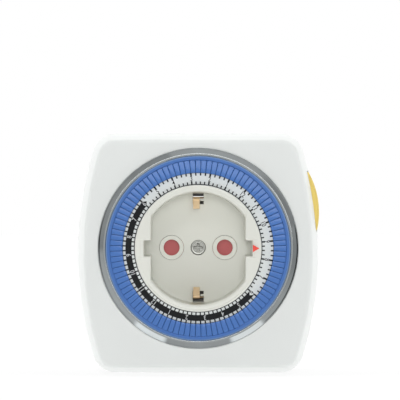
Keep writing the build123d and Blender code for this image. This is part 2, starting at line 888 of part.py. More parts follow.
movement_plate.part.label = "movement_plate"

# Gear shaft: steel pin between the plate and the front cover.
shaft_back = wheel_back - gear_play / 2 - plate_thickness
with BuildPart() as gear_shaft:
    with BuildSketch(forward(shaft_back, train_x, train_z)):
        Circle(shaft_radius)
    extrude(amount=dial_back + wall / 2 - shaft_back)
gear_shaft.part.label = "gear_shaft"

# Reduction gear: the wheel driven by the motor and the pinion that drives the dial.
with BuildPart() as reduction_gear:
    with BuildSketch(forward(wheel_back, train_x, train_z)):
        add(gear_outline(wheel_teeth, wheel_module, 1, motor_angle))
    extrude(amount=wheel_thickness)
    with BuildSketch(forward(wheel_front, train_x, train_z)):
        add(gear_outline(pinion_teeth, ring_module, 3, train_angle + 180 + 180 / pinion_teeth))
    extrude(amount=pinion_front - wheel_front)
    with Locations(forward(pinion_front, train_x, train_z)):
        Hole(shaft_radius + shaft_play)
reduction_gear.part.label = "reduction_gear"

# Motor pinion with the output shaft of the gear motor.
motor_top = plate_back
with BuildPart() as motor_pinion:
    with BuildSketch(forward(wheel_back - gear_play / 4, output_x, output_z)):
        add(gear_outline(motor_teeth, wheel_module, 2, motor_angle + 180 + 180 / motor_teeth))
    extrude(amount=wheel_thickness + gear_play / 2)
    with BuildSketch(forward(motor_top - wall, output_x, output_z)):
        Circle(output_radius)
    extrude(amount=wheel_back - motor_top + wall)
motor_pinion.part.label = "motor_pinion"

# Gear motor: sealed can with two ears, a bearing for the output shaft and two terminals.
ear_places = [
    (
        motor_x + turn * ear_reach * math.cos(math.radians(motor_angle)),
        motor_z + turn * ear_reach * math.sin(math.radians(motor_angle)),
    )
    for turn in (-1, 1)
]
with BuildPart() as gear_motor:
    with BuildSketch(forward(motor_top - motor_height, motor_x, motor_z)):
        Circle(motor_radius)
    extrude(amount=motor_height)
    chamfer(gear_motor.edges().group_by(Axis.Y)[-1], motor_edge)
    with BuildSketch(forward(motor_top - ear_thickness)):
        with BuildLine():
            Line(*ear_places)
        trace(line_width=2 * ear_radius)
        with Locations(*ear_places):
            Circle(ear_radius)
    extrude(amount=ear_thickness)
    with BuildSketch(forward(motor_top, output_x, output_z)):
        Circle(motor_bearing_radius)
    extrude(amount=plate_thickness)
    with BuildSketch(forward(motor_top - motor_height + motor_edge, motor_x, motor_z)):
        with GridLocations(2 * terminal_width, 0, 2, 1):
            with Locations((0, -motor_radius)):
                Rectangle(terminal_width, terminal_length)
    extrude(amount=contact_thickness)
    with Locations(forward(motor_top + plate_thickness, output_x, output_z)):
        Hole(output_radius + shaft_play, depth=plate_thickness + wall + seat_gap)
    with Locations(*[forward(motor_top, x, z) for x, z in ear_places]):
        Hole(motor_screw_radius + shaft_play, depth=ear_thickness)
gear_motor.part.label = "gear_motor"

# Motor screws, from behind the ears into the plate.
with BuildPart() as motor_screws:
    with BuildSketch(forward(motor_top - ear_thickness)):
        with Locations(*ear_places):
            Circle(motor_screw_head)
    extrude(amount=-ear_thickness)
    with BuildSketch(forward(motor_top - ear_thickness)):
        with Locations(*ear_places):
            Circle(motor_screw_radius)
    extrude(amount=ear_thickness)
motor_screws.part.label = "motor_screws"

# Dial carrier: turned body with the ring's seat and the tripper channel, pierced for the stems,
# with the toothed skirt that the pinion drives.
with BuildPart() as dial_carrier:
    with BuildSketch(lengthwise()):
        with BuildLine():
            Polyline(
                (dial_bore, dial_back),
                (dial_bore + hub_wall, dial_back),
                (dial_bore + hub_wall, ring_seat - hub_wall),
                (channel_inner - hub_wall, ring_seat - hub_wall),
                (channel_inner - hub_wall, dial_back),
                (skirt_inner_radius, dial_back),
                (skirt_inner_radius, skirt_back),
                (mesh_radius - dedendum * ring_module, skirt_back),
                (mesh_radius - dedendum * ring_module, dial_back),
                (dial_radius, dial_back),
                (dial_radius, dial_rim - dial_edge),
                (dial_radius - dial_edge, dial_rim),
                (channel_radius, dial_rim),
                (channel_radius, channel_floor),
                (channel_inner, channel_floor),
                (channel_inner, ring_seat),
                (seat_radius, ring_seat),
                (seat_radius, front_height),
                (dial_bore, front_height),
                close=True,
            )
        make_face()
    revolve(axis=Axis.Y)
    with BuildSketch(forward(skirt_back)):
        add(gear_outline(ring_teeth, ring_module, 1))
        Circle(mesh_radius - (dedendum + tooth_sink / 2) * ring_module, mode=Mode.SUBTRACT)
    extrude(amount=skirt_depth)
    with BuildSketch(forward(dial_back)):
        with PolarLocations(stem_inner_radius + stem_length / 2, tab_count):
            Rectangle(stem_length + 2 * stem_play, stem_width + 2 * stem_play)
    extrude(amount=web_thickness, mode=Mode.SUBTRACT)
dial_carrier.part.label = "dial_carrier"

# Number ring: flat printed ring in the carrier's seat.
with BuildPart() as number_ring:
    with BuildSketch(forward(ring_seat)):
        Circle(ring_outer_radius)
        Circle(seat_radius + ring_play, mode=Mode.SUBTRACT)
    extrude(amount=ring_thickness)
number_ring.part.label = "number_ring"

# Trippers: each bank holds the four tabs of one hour. A tab is a wedge-shaped head with a stem
# that reaches through the carrier's web.
head_inner = channel_inner + tab_play
head_outer = channel_radius - tab_play
head_back = channel_floor + tab_travel + stem_play
head_front = dial_rim + tab_travel
stem_end = dial_back - stem_set_back
head_spread = math.tan(math.radians(tab_pitch / 2))
banks = []
for hour in range(hours):
    first_angle = (hour + 0.5 / tabs_per_hour - pointer_time) * pointer_step
    with BuildPart() as tripper_bank:
        with BuildSketch(forward(head_back)):
            with PolarLocations(0, tabs_per_hour, first_angle, tab_pitch * tabs_per_hour):
                Polygon(
                    (head_inner, head_inner * head_spread - tab_gap / 2),
                    (head_inner, -head_inner * head_spread + tab_gap / 2),
                    (head_outer, -head_outer * head_spread + tab_gap / 2),
                    (head_outer, head_outer * head_spread - tab_gap / 2),
                    align=None,
                )
        extrude(amount=head_front - head_back)
        with BuildSketch(forward(head_back)):
            with PolarLocations(
                stem_inner_radius + stem_length / 2, tabs_per_hour, first_angle, tab_pitch * tabs_per_hour
            ):
                Rectangle(stem_length, stem_width)
        extrude(amount=stem_end - head_back)
    tripper_bank.part.label = f"tripper_bank_{hour:02d}"
    banks.append(tripper_bank.part)

# Trip lever: hub, arm with the nose that feels the stems, and the tail under the override slide.
nose_x = lever_middle
nose_z = nose_x * math.tan(math.radians(nose_angle))
with BuildPart() as trip_lever:
    with BuildSketch(upright(lever_middle - lever_width / 2)):
        with Locations((-pivot_drop, pivot_height)):
            Circle(lever_hub_radius)
        with Locations(((lever_tail - pivot_drop) / 2, (lever_back + lever_front) / 2)):
            Rectangle(lever_tail + pivot_drop, lever_thickness)
    extrude(amount=lever_width)
    with BuildSketch(upright(lever_middle - stem_length / 2)):
        with BuildLine():
            Polyline(
                (nose_z - nose_root / 2, lever_front - lever_thickness / 2),
                (nose_z - nose_root / 2, lever_front),
                (nose_z - nose_tip / 2, lever_front + nose_height),
                (nose_z + nose_tip / 2, lever_front + nose_height),
                (nose_z + nose_root / 2, lever_front),
                (nose_z + nose_root / 2, lever_front - lever_thickness / 2),
                close=True,
            )
        make_face()
    extrude(amount=stem_length)
    with BuildSketch(forward(lever_back)):
        with Locations(((lever_middle + lever_tail_reach) / 2, lever_tail - lever_tail_width / 2)):
            Rectangle(lever_tail_reach - lever_middle, lever_tail_width)
    extrude(amount=lever_thickness)
    with BuildSketch(upright(lever_middle - lever_width / 2)):
        with Locations((-pivot_drop, pivot_height)):
            Circle(pivot_radius + shaft_play)
    extrude(amount=lever_width, mode=Mode.SUBTRACT)
trip_lever.part.label = "trip_lever"

# Pivot pin of the lever, held in the two lugs.
with BuildPart() as lever_pin:
    with BuildSketch(upright(lug_near - lug_gap)):
        with Locations((-pivot_drop, pivot_height)):
            Circle(pivot_radius)
    extrude(amount=lug_far + lug_thickness + 2 * lug_gap - lug_near)
lever_pin.part.label = "lever_pin"

# Lever spring: a leaf on the plate that lifts the lever against the stems.
with BuildPart() as lever_spring:
    with BuildSketch(upright(lever_middle - leaf_width / 2)):
        side_view = bent_strip(
            [
                (leaf_start - pivot_drop, plate_front + leaf_thickness / 2),
                (leaf_start + leaf_length - pivot_drop, plate_front + leaf_thickness / 2),
                (leaf_start + leaf_length / 4 - pivot_drop, lever_back - leaf_thickness),
            ],
            2 * leaf_thickness,
            leaf_thickness,
        )
        add(side_view)
    extrude(amount=leaf_width)
lever_spring.part.label = "lever_spring"

# Contact bridge: bar under the lever with a rivet over each fixed one.
bridge_start = near_riser + pad_length - rivet_radius
bridge_end = far_riser - pad_length + rivet_radius
with BuildPart() as contact_bridge:
    with BuildSketch(forward(bridge_back, (bridge_start + bridge_end) / 2)):
        Rectangle(bridge_end - bridge_start + 2 * (rivet_radius + bridge_overhang / 2), bridge_width)
    extrude(amount=bridge_thickness)
    with BuildSketch(forward(moving_rivet_back)):
        with Locations((bridge_start, 0), (bridge_end, 0)):
            Circle(rivet_radius)
    extrude(amount=bridge_back - moving_rivet_back)
contact_bridge.part.label = "contact_bridge"

# Override slide: bowed cap in the window, a flange behind the wall and a leg over the lever.
with BuildPart() as override_slide:
    with BuildSketch(beside_slide(slide_back)):
        with BuildLine():
            ThreePointArc(
                (cap_chord, -slide_length / 2),
                (cap_chord + slide_bulge, 0),
                (cap_chord, slide_length / 2),
            )
            Polyline(
                (cap_chord, slide_length / 2),
                (flange_back, slide_length / 2),
                (flange_back, -slide_length / 2),
                (cap_chord, -slide_length / 2),
            )
        make_face()
    extrude(amount=slide_height)
    with BuildSketch(beside_slide(slide_back - slide_travel - slide_flange)):
        with Locations((flange_back + slide_flange_thickness / 2, 0)):
            Rectangle(slide_flange_thickness, 2 * flange_half)
    extrude(amount=slide_height + slide_travel + 2 * slide_flange)
    with BuildSketch(forward(leg_back)):
        leg_end = slide_centre_x + flange_back + slide_flange_thickness / 2
        with Locations(((slide_leg_reach + leg_end) / 2, slide_leg_rise)):
            Rectangle(leg_end - slide_leg_reach, slide_leg_width)
    extrude(amount=slide_leg_thickness)
override_slide.part.label = "override_slide"

os.makedirs("parts", exist_ok=True)
pieces = [
    front_cover.part,
    rear_cover.part,
    socket_insert.part,
    time_pointer.part,
    bezel_ring.part,
    centre_screw.part,
    housing_screws.part,
    contact_base.part,
    shutter.part,
    shutter_spring.part,
    *earth_strips,
    earth_link.part,
    *pins,
    neutral_contact.part,
    live_contact.part,
    live_strip.part,
    movement_plate.part,
    gear_shaft.part,
    reduction_gear.part,
    motor_pinion.part,
    gear_motor.part,
    motor_screws.part,
    dial_carrier.part,
    number_ring.part,
    *banks,
    trip_lever.part,
    lever_pin.part,
    lever_spring.part,
    contact_bridge.part,
    override_slide.part,
]
for piece in pieces:
    export_step(piece, f"parts/{piece.label}.step")
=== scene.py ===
import bpy
import bmesh
import json
import math
import numpy as np
from mathutils import Matrix, Vector


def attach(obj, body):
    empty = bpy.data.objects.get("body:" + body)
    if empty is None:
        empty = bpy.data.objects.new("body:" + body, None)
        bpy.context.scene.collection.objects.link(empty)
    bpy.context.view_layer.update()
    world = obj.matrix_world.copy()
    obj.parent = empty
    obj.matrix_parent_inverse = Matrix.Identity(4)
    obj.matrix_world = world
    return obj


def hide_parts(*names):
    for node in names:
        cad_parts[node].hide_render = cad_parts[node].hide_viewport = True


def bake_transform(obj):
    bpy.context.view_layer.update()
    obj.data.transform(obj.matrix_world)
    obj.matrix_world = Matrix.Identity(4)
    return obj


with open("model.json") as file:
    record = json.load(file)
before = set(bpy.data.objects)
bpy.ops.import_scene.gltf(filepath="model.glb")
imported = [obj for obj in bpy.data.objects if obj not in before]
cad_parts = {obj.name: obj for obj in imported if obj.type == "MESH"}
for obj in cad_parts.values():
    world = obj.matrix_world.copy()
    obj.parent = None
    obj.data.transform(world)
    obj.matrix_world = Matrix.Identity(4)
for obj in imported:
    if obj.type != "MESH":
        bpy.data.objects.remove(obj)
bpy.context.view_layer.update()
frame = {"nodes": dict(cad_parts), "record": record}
nodes = frame["nodes"]
scene = bpy.context.scene
scene.view_settings.view_transform = "Standard"
print("frame loaded:", len(nodes), "nodes")


class Wire:  # one output socket of a material, used like a number in sums
    def __init__(self, tree, socket=None):
        self.tree = tree
        self.socket = socket

    def add(self, kind, settings=None, values=None, output=0):
        # any node: its type, its settings, then the values or the links of its sockets
        node = self.tree.nodes.new(kind)
        for key, value in (settings or {}).items():
            if key == "stops":  # a ramp's stops, each a place and a colour
                ramp = node.color_ramp
                while len(ramp.elements) < len(value):
                    ramp.elements.new(1)
                for element, (place, colour) in zip(ramp.elements, value):
                    element.position = place
                    element.color = colour
            else:
                setattr(node, key, value)
        for key, value in (values or {}).items():
            if isinstance(value, Wire):
                self.tree.links.new(value.socket, node.inputs[key])
            else:
                node.inputs[key].default_value = value
        return Wire(self.tree, node.outputs[output])

    def maths(self, operation, *values):
        return self.add("ShaderNodeMath", {"operation": operation}, dict(enumerate(values)))

    def __add__(self, other):
        return self.maths("ADD", self, other)

    def __radd__(self, other):
        return self.maths("ADD", other, self)

    def __sub__(self, other):
        return self.maths("SUBTRACT", self, other)

    def __rsub__(self, other):
        return self.maths("SUBTRACT", other, self)

    def __mul__(self, other):
        return self.maths("MULTIPLY", self, other)

    def __rmul__(self, other):
        return self.maths("MULTIPLY", other, self)

    def __truediv__(self, other):
        return self.maths("DIVIDE", self, other)

    def __rtruediv__(self, other):
        return self.maths("DIVIDE", other, self)

    def __abs__(self):
        return self.maths("ABSOLUTE", self)

    def above(self, edge, soft):  # 0 below the edge, 1 above it, with a soft step
        return self.add("ShaderNodeMapRange", {"interpolation_type": "SMOOTHSTEP"},
                        {"Value": self, "From Min": edge - soft, "From Max": edge + soft})

    def blend(self, first, second):  # mixes two colours by this number
        return self.add("ShaderNodeMix", {"data_type": "RGBA"}, {0: self, 6: first, 7: second}, 2)

    def blendValues(self, first, second):
        return self.add("ShaderNodeMix", {"data_type": "FLOAT"}, {0: self, 2: first, 3: second})


def written(red, green, blue):  # a colour as written, 0 to 255, made linear
    c = np.array([red, green, blue]) / 255
    linear = np.where(c <= 0.04045, c / 12.92, ((c + 0.055) / 1.055) ** 2.4)
    return (*linear.tolist(), 1.0)


def newMaterial(name, paint):  # paint gives the shader's sockets, by name
    material = bpy.data.materials.new(name)
    material.use_nodes = True
    tree = material.node_tree
    shader = tree.nodes["Principled BSDF"]
    for key, value in paint(Wire(tree)).items():
        if isinstance(value, Wire):
            tree.links.new(value.socket, shader.inputs[key])
        else:
            shader.inputs[key].default_value = value
    return material


def objectPlace(tree):  # a point's own place, in metres
    return tree.add("ShaderNodeTexCoord", output="Object")


def axes(tree, vector):  # its x, y and z, each a number
    split = tree.add("ShaderNodeSeparateXYZ", None, {0: vector})
    outputs = split.socket.node.outputs
    return [Wire(split.tree, outputs[i]) for i in range(3)]


def cloud(tree, scale, detail=2.0, roughness=0.5):  # soft noise, 0 to 1, with a size per metre
    return tree.add("ShaderNodeTexNoise", {"noise_dimensions": "3D"},
                    {"Vector": objectPlace(tree), "Scale": scale, "Detail": detail, "Roughness": roughness})


def relief(tree, height, strength, distance, edge=0.0002):  # bumps over rounded edges
    rounded = tree.add("ShaderNodeBevel", {"samples": 6}, {"Radius": edge})
    return tree.add("ShaderNodeBump", None,
                    {"Strength": strength, "Distance": distance, "Height": height, "Normal": rounded})


def buildMesh(name, points, quads, caps=(), sharp=50):
    # the sign of the enclosed volume, seen from the middle of the points, tells which way the faces turn
    points = np.asarray(points, float).reshape(-1, 3)
    quads = np.asarray(quads)
    a, b, c, d = (points[quads[:, i]] - points.mean(0) for i in range(4))
    volume = np.einsum("ij,ij->", a, np.cross(b, c)) + np.einsum("ij,ij->", a, np.cross(c, d))
    faces = quads.tolist() + [list(cap) for cap in caps]
    if volume < 0:
        faces = [face[::-1] for face in faces]
    mesh = bpy.data.meshes.new(name)
    mesh.from_pydata((points * 0.001).tolist(), [], faces)
    mesh.update()
    mesh.polygons.foreach_set("use_smooth", np.full(len(mesh.polygons), True))
    mesh.set_sharp_from_angle(angle=math.radians(sharp))
    return mesh


def place(name, mesh, body, slotName, replaced=(), material=None):
    piece = bpy.data.objects.new(name, mesh)
    scene.collection.objects.link(piece)
    mesh.materials.clear()
    mesh.materials.append(material or materials[slotName])
    if body:
        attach(piece, body)
    if replaced:
        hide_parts(*replaced)
    return piece


def gridFaces(rows, columns, closed=True):
    # each face joins a point, the next one along its row, and the two beside them in the next row
    r, c = np.meshgrid(np.arange(rows if closed else rows - 1), np.arange(columns), indexing="ij")
    r2, c2 = (r + 1) % rows, (c + 1) % columns
    corners = [r * columns + c, r * columns + c2, r2 * columns + c2, r2 * columns + c]
    return np.stack(corners, -1).reshape(-1, 4)


def endCaps(rows, columns):  # the first and the last row, as one face each
    row = np.arange(columns)
    return [row, row[::-1] + columns * (rows - 1)]


def roundedProfile(corners, radii, steps=4, first=0, last=None):
    # each corner becomes an arc that touches both of its edges: its centre lies on the corner's middle
    # line, and its points turn evenly from one edge's foot to the other's. A point is held just before
    # and after each arc, so that the flats beside it stay flat. Corners from first to last are given back
    corners = np.asarray(corners, float)
    radii = np.asarray(radii, float)[:, None]
    before = np.roll(corners, 1, 0) - corners
    after = np.roll(corners, -1, 0) - corners
    before /= np.linalg.norm(before, axis=1, keepdims=True)
    after /= np.linalg.norm(after, axis=1, keepdims=True)
    opening = np.arccos(np.clip((before * after).sum(1, keepdims=True), -1, 1)) / 2
    reach = radii / np.tan(opening)
    middle = before + after
    middle /= np.linalg.norm(middle, axis=1, keepdims=True)
    centre = corners + middle * radii / np.sin(opening)
    start = (corners + before * reach - centre)[:, None]
    end = (corners + after * reach - centre)[:, None]
    turn = (math.pi - 2 * opening)[:, None]
    s = np.linspace(0, 1, steps)[None, :, None]
    arc = centre[:, None] + (np.sin((1 - s) * turn) * start + np.sin(s * turn) * end) / np.sin(turn)
    hold = 0.25 * radii[:, None]
    rows = np.concatenate([arc[:, :1] + before[:, None] * hold, arc, arc[:, -1:] + after[:, None] * hold], 1)
    return rows[first:last].reshape(-1, 2)


def turnedMesh(name, corners, radii, count, at=(0, 0)):
    # a closed profile of radius and height goes round an axis that faces forward
    profile = roundedProfile(corners, radii)
    angle = np.linspace(0, 2 * math.pi, count, endpoint=False)
    r, h = profile[:, :1], profile[:, 1:]
    points = np.stack([at[0] + r * np.cos(angle), -h + 0 * angle, at[1] + r * np.sin(angle)], -1)
    return buildMesh(name, points, gridFaces(*points.shape[:2]))


plastic = {  # colours as written, 0 to 255
    "faceGrey": (229, 232, 230),
    "socketGrey": (223, 224, 216),
    # painted light: a lighter copy of the socket grey, for the light the funnels catch
    "funnelLitGrey": (238, 239, 231),
    "dialBlue": (70, 115, 185),
    # painted shade: a grey that stands in for the shadow in the gap at the dial's lip
    "rimLitBlue": (118, 148, 190),
    # painted light: a paler blue that stands in for the light the dial's outer rim catches
    "lipShadeGrey": (112, 117, 122),
    "slideYellow": (232, 206, 112),
    "pointerRed": (236, 84, 72),
    "shutterRed": (185, 98, 99),
    "ringWhite": (230, 234, 235),
    "inkBlack": (18, 19, 21),
    "inkWhite": (228, 230, 228),
    "baseGrey": (104, 104, 102),
    "plateWhite": (220, 220, 212),
    "gearNatural": (230, 227, 214),
}
skin = {  # of every plastic
    "cloudScale": 55,  # clouds in a metre
    "mottle": 0.025,  # half of what a cloud takes from the colour
    "shine": 0.08,  # and what it changes in the roughness
    "grainScale": 9000,
    "grainStrength": 0.35,
}
metal = {  # colours as written, 0 to 255
    "chrome": (195, 201, 202),
    "nickel": (204, 201, 194),
    "brass": (222, 184, 120),
    "earthBrass": (255, 222, 176),
    "zinc": (176, 177, 171),
    "spring": (176, 178, 180),
    "motorCan": (182, 184, 186),
}
wear = {  # of every metal
    "patchScale": 160,  # patches in a metre
    "patchShade": 0.8,  # how bright a dull patch is
    "streakStrength": 0.25,
    "streakDepth": 0.00001,  # m
}


def mouldedPaint(name, roughness, grain=0.00001, mottle=skin["mottle"]):
    # clouds darken the colour and change the shine a little, and fine specks are the moulded grain
    def paint(tree):
        cloudy = cloud(tree, skin["cloudScale"], 3)
        specks = cloud(tree, skin["grainScale"], 2)
        base = written(*plastic[name])
        dark = tuple(v * (1 - 2 * mottle) for v in base[:3]) + (1,)
        return {
            "Base Color": cloudy.blend(dark, base),
            "Roughness": roughness + skin["shine"] * (cloudy - 0.5),
            "Normal": relief(tree, specks, skin["grainStrength"], grain),
            "IOR": 1.5,
        }
    return paint


def metalPaint(name, roughness, scale=1200, metallic=1.0, vary=0.12):
    # dull patches darken the colour, and streaks change the shine and are the metal's relief
    def paint(tree):
        cloudy = cloud(tree, wear["patchScale"], 3)
        streaks = cloud(tree, scale, 3, 0.7)
        base = written(*metal[name])
        dark = tuple(v * wear["patchShade"] for v in base[:3]) + (1,)
        return {
            "Base Color": cloudy.blend(dark, base),
            "Metallic": metallic,
            "Roughness": roughness + vary * (streaks - 0.5),
            "Normal": relief(tree, streaks, wear["streakStrength"], wear["streakDepth"]),
        }
    return paint


dialShadeAndLight = {  # mm of radius where the painted shade and the painted light start, and how softly the colour changes there
    # painted shade: inside this radius the lip is painted dark
    "lip": (22.62, 0.03),
    # painted light: outside this radius the rim is painted paler
    "rim": (32.15, 0.25),
}


def dialPaint(tree):  # painted shade darkens the narrow lip round the collar, for the shadow in the gap there, and painted light makes the outer rim paler
    sockets = mouldedPaint("dialBlue", 0.3, 0.000004)(tree)
    x, y, z = axes(tree, objectPlace(tree))
    radius = tree.maths("SQRT", x * x + z * z) * 1000
    # painted light on the outer rim
    pale = radius.above(*dialShadeAndLight["rim"]).blend(sockets["Base Color"], written(*plastic["rimLitBlue"]))
    # painted shade on the lip
    sockets["Base Color"] = radius.above(*dialShadeAndLight["lip"]).blend(written(*plastic["lipShadeGrey"]), pale)
    return sockets


materials = {  # by the record's slots
    "housing_grey": newMaterial("satinHousing", mouldedPaint("faceGrey", 0.42)),
    "socket_grey": newMaterial("socketPlastic", mouldedPaint("socketGrey", 0.3, 0.000003, 0.012)),
    "bezel_chrome": newMaterial("platedRing", metalPaint("chrome", 0.06, 300, vary=0.04)),
    "dial_blue": newMaterial("dialPlastic", dialPaint),
    "tripper_blue": newMaterial("tripperPlastic", mouldedPaint("dialBlue", 0.2, 0.000003, 0.015)),
    "ring_print": newMaterial("ringWhite", mouldedPaint("ringWhite", 0.4, 0.000003)),
    "pointer_red": newMaterial("pointerPlastic", mouldedPaint("pointerRed", 0.35)),
    "shutter_red": newMaterial("shutterPlastic", mouldedPaint("shutterRed", 0.45)),
    "slide_yellow": newMaterial("slidePlastic", mouldedPaint("slideYellow", 0.32)),
    "pin_nickel": newMaterial("pinNickel", metalPaint("nickel", 0.24, 400, vary=0.06)),
    "contact_brass": newMaterial("contactBrass", metalPaint("brass", 0.3)),
    "earth_metal": newMaterial("earthBrass", metalPaint("earthBrass", 0.42, metallic=0.12)),
    "screw_steel": newMaterial("screwZinc", metalPaint("zinc", 0.32)),
    "spring_steel": newMaterial("springSteel", metalPaint("spring", 0.3)),
    "base_black": newMaterial("thermosetGrey", mouldedPaint("baseGrey", 0.5)),
    "plate_white": newMaterial("plateWhite", mouldedPaint("plateWhite", 0.5)),
    "gear_natural": newMaterial("gearNatural", mouldedPaint("gearNatural", 0.45)),
    "motor_steel": newMaterial("motorCan", metalPaint("motorCan", 0.3)),
}
# painted light: the funnels get the socket plastic made lighter
funnelLitPlastic = newMaterial("funnelLitPlastic", mouldedPaint("funnelLitGrey", 0.3, 0.000003, 0.012))
inkBlack = newMaterial("inkBlack", mouldedPaint("inkBlack", 0.7))
inkWhite = newMaterial("inkWhite", mouldedPaint("inkWhite", 0.45))

for entry in frame["record"]["subparts"]:
    thing = nodes[entry["node"]]
    thing.data.materials.clear()
    thing.data.materials.append(materials[entry["material_slot"]])
print("materials made:", len(materials))

housing = {  # mm
    "width": 80.4,
    "height": 79.9,
    "sideRadius": 123.0,
    "cornerRadius": 5.5,
    "middle": -1.95,  # of the height, from the dial's axis
    "front": 55.0,
    "parting": 36.0,  # where the front cover meets the rear cover
    "draft": 8.4,  # degrees
    "belly": 0.7,  # how far the side walls bow out half way down
    "edge": 1.3,
    "edgeDepth": 2.2,  # where the wall's own rows start
    "wall": 2.2,
    "hole": 35.3,
    "seatRadius": 33.9,
    "seat": 54.0,
    "slideRise": 18.35,  # height of the slide's middle
    "windowHalf": 10.65,
    "windowTop": 46.9,
}
draftSlope = math.tan(math.radians(housing["draft"]))
slideAngle = math.asin(housing["slideRise"] / housing["sideRadius"])


def flare(height):  # how far the drafted wall stands outside the face outline
    return (housing["front"] - height) * draftSlope


def wallOffset(height):  # the outer wall: its draft and a half sine wave of belly, from front to parting
    depth = housing["front"] - height
    share = np.clip(depth / (housing["front"] - housing["parting"]), 0, 1)
    return depth * draftSlope + housing["belly"] * np.sin(math.pi * share)


def faceOutline():
    # every point is an arc's centre plus its radius times a direction, and that direction is also the way
    # outwards: bowed sides, round corners, and straight runs whose centre slides along with radius nought
    side, corner = housing["sideRadius"], housing["cornerRadius"]
    half = housing["height"] / 2
    sideX = housing["width"] / 2 - side
    cornerZ = half - corner
    cornerX = sideX + math.sqrt((side - corner) ** 2 - cornerZ ** 2)
    limit = math.asin(cornerZ / (side - corner))
    window = math.asin(housing["windowHalf"] / side)
    edges = slideAngle + window * np.array([-1, 1])
    left = np.linspace(-limit, limit, 40)
    right = np.sort(np.concatenate([left, edges - 0.0001, edges + 0.0001]))
    bend = np.linspace(limit, math.pi / 2, 12)[1:-1]
    run = np.linspace(cornerX, -cornerX, 26)
    angle = np.concatenate([
        right, bend, run * 0 + math.pi / 2, math.pi - bend[::-1],
        math.pi + left, math.pi + bend, run * 0 - math.pi / 2, -bend[::-1],
    ])
    count = [len(part) for part in (right, bend, run, bend, left, bend, run, bend)]
    centreX = np.concatenate([
        0 * right + sideX, 0 * bend + cornerX, run, 0 * bend - cornerX,
        0 * left - sideX, 0 * bend - cornerX, -run, 0 * bend + cornerX,
    ])
    centreZ = np.repeat([0, cornerZ, half, cornerZ, 0, -cornerZ, -half, -cornerZ], count)
    radius = np.repeat([side, corner, 0, corner] * 2, count)
    outwards = np.stack([np.cos(angle), np.sin(angle)], -1)
    points = np.stack([centreX, centreZ], -1) + radius[:, None] * outwards
    inWindow = (np.arange(len(angle)) < count[0]) & (np.abs(angle - slideAngle) < window)
    return points, outwards, inWindow


def frontCoverMesh():
    # rows run from the bezel's seat, a circle, over the face to the outline, round its edge, down the
    # drafted wall, round the rim and back up inside: a row is a circle, an outline at a distance outwards,
    # or a mix of both, at a height. At the slide's window the wall's rows are held above the window's top,
    # a little apart, and the rim's are lifted to it
    outline, outwards, inWindow = faceOutline()
    outline = outline + np.array([0, housing["middle"]])
    wall, front, parting, top = (housing[k] for k in ("wall", "front", "parting", "windowTop"))
    seat, seatRadius, hole = (housing[k] for k in ("seat", "seatRadius", "hole"))
    under, shoulder = front - wall, front - housing["edgeDepth"]
    far, within = hole + 5, -6  # these corners are left out and only give a direction
    ring = roundedProfile(
        [(seatRadius, under), (seatRadius, seat), (hole, seat), (hole, front), (far, front), (far, under)],
        [0.1, 0.1, 0.08, 0.12, 0.1, 0.1], last=4)
    edge = roundedProfile([(within, front), (0, front), (wallOffset(shoulder), shoulder), (within, shoulder)],
                          [0.1, housing["edge"], 0.1, 0.1], 6, 1, 2)
    down = np.linspace(shoulder, parting + 0.8, 9)  # the wall's rows, as heights
    rim = roundedProfile(
        [(wallOffset(parting + 2), parting + 2), (flare(parting), parting), (flare(parting) - wall, parting),
         (flare(under) - wall, under), (within, under)], [0.1, 0.3, 0.2, 0.6, 0.1], 6, 1, 4)
    side = np.concatenate([edge, np.stack([wallOffset(down), down], -1), rim])
    share = np.linspace(0, 1, 8)[1:-1]  # the face's rows, from circle to outline
    mix = np.concatenate([0 * ring[:, 0], share, 0 * side[:, 0] + 1])
    radius = np.concatenate([ring[:, 0], np.full(len(share) + len(side), ring[-1, 0])])
    offset = np.concatenate([np.full(len(ring) + len(share), side[0, 0]), side[:, 0]])
    height = np.concatenate([ring[:, 1], 0 * share + front, side[:, 1]])
    wallStart = len(ring) + len(share) + len(edge)
    rimStart = wallStart + len(down)
    outerRim, innerRim = rimStart + len(rim) // 3, rimStart + 2 * len(rim) // 3
    lift = 0 * height
    lift[wallStart:rimStart] = np.maximum(down, top + 0.5 + 0.1 * np.arange(len(down))[::-1]) - down
    lift[rimStart:innerRim] = top - parting
    angle = np.arctan2(outline[:, 1], outline[:, 0])
    circle = radius[:, None, None] * np.stack([np.cos(angle), np.sin(angle)], -1)
    rise = lift[:, None] * inWindow
    outer = (np.arange(len(height)) < outerRim)[:, None]
    bowed = wallOffset(height[:, None] + rise) - wallOffset(height)[:, None]
    away = offset[:, None] + np.where(outer, bowed, -rise * draftSlope)
    around = outline + away[..., None] * outwards
    flat = (1 - mix[:, None, None]) * circle + mix[:, None, None] * around
    points = np.stack([flat[..., 0], -(height[:, None] + rise), flat[..., 1]], -1)
    return buildMesh("frontShell", points, gridFaces(*points.shape[:2]))


place("frontShell", frontCoverMesh(), "housing", "housing_grey", ["front_cover"])

bezel = {  # mm: radius and height of each corner, and how round it is
    "corners": [(32.6, 52.9), (33.8, 52.9), (33.8, 54.0), (35.2, 54.0), (35.2, 55.7), (34.65, 56.05),
                (33.35, 57.1), (32.7, 57.1), (32.6, 57.0)],
    "rounding": [0.05, 0.05, 0.05, 0.05, 0.2, 0.3, 0.12, 0.03, 0.03],
}
bezelMesh = turnedMesh("bezelPlated", bezel["corners"], bezel["rounding"], 240)
place("bezelPlated", bezelMesh, "housing", "bezel_chrome", ["bezel_ring"])
print("front cover and bezel made")

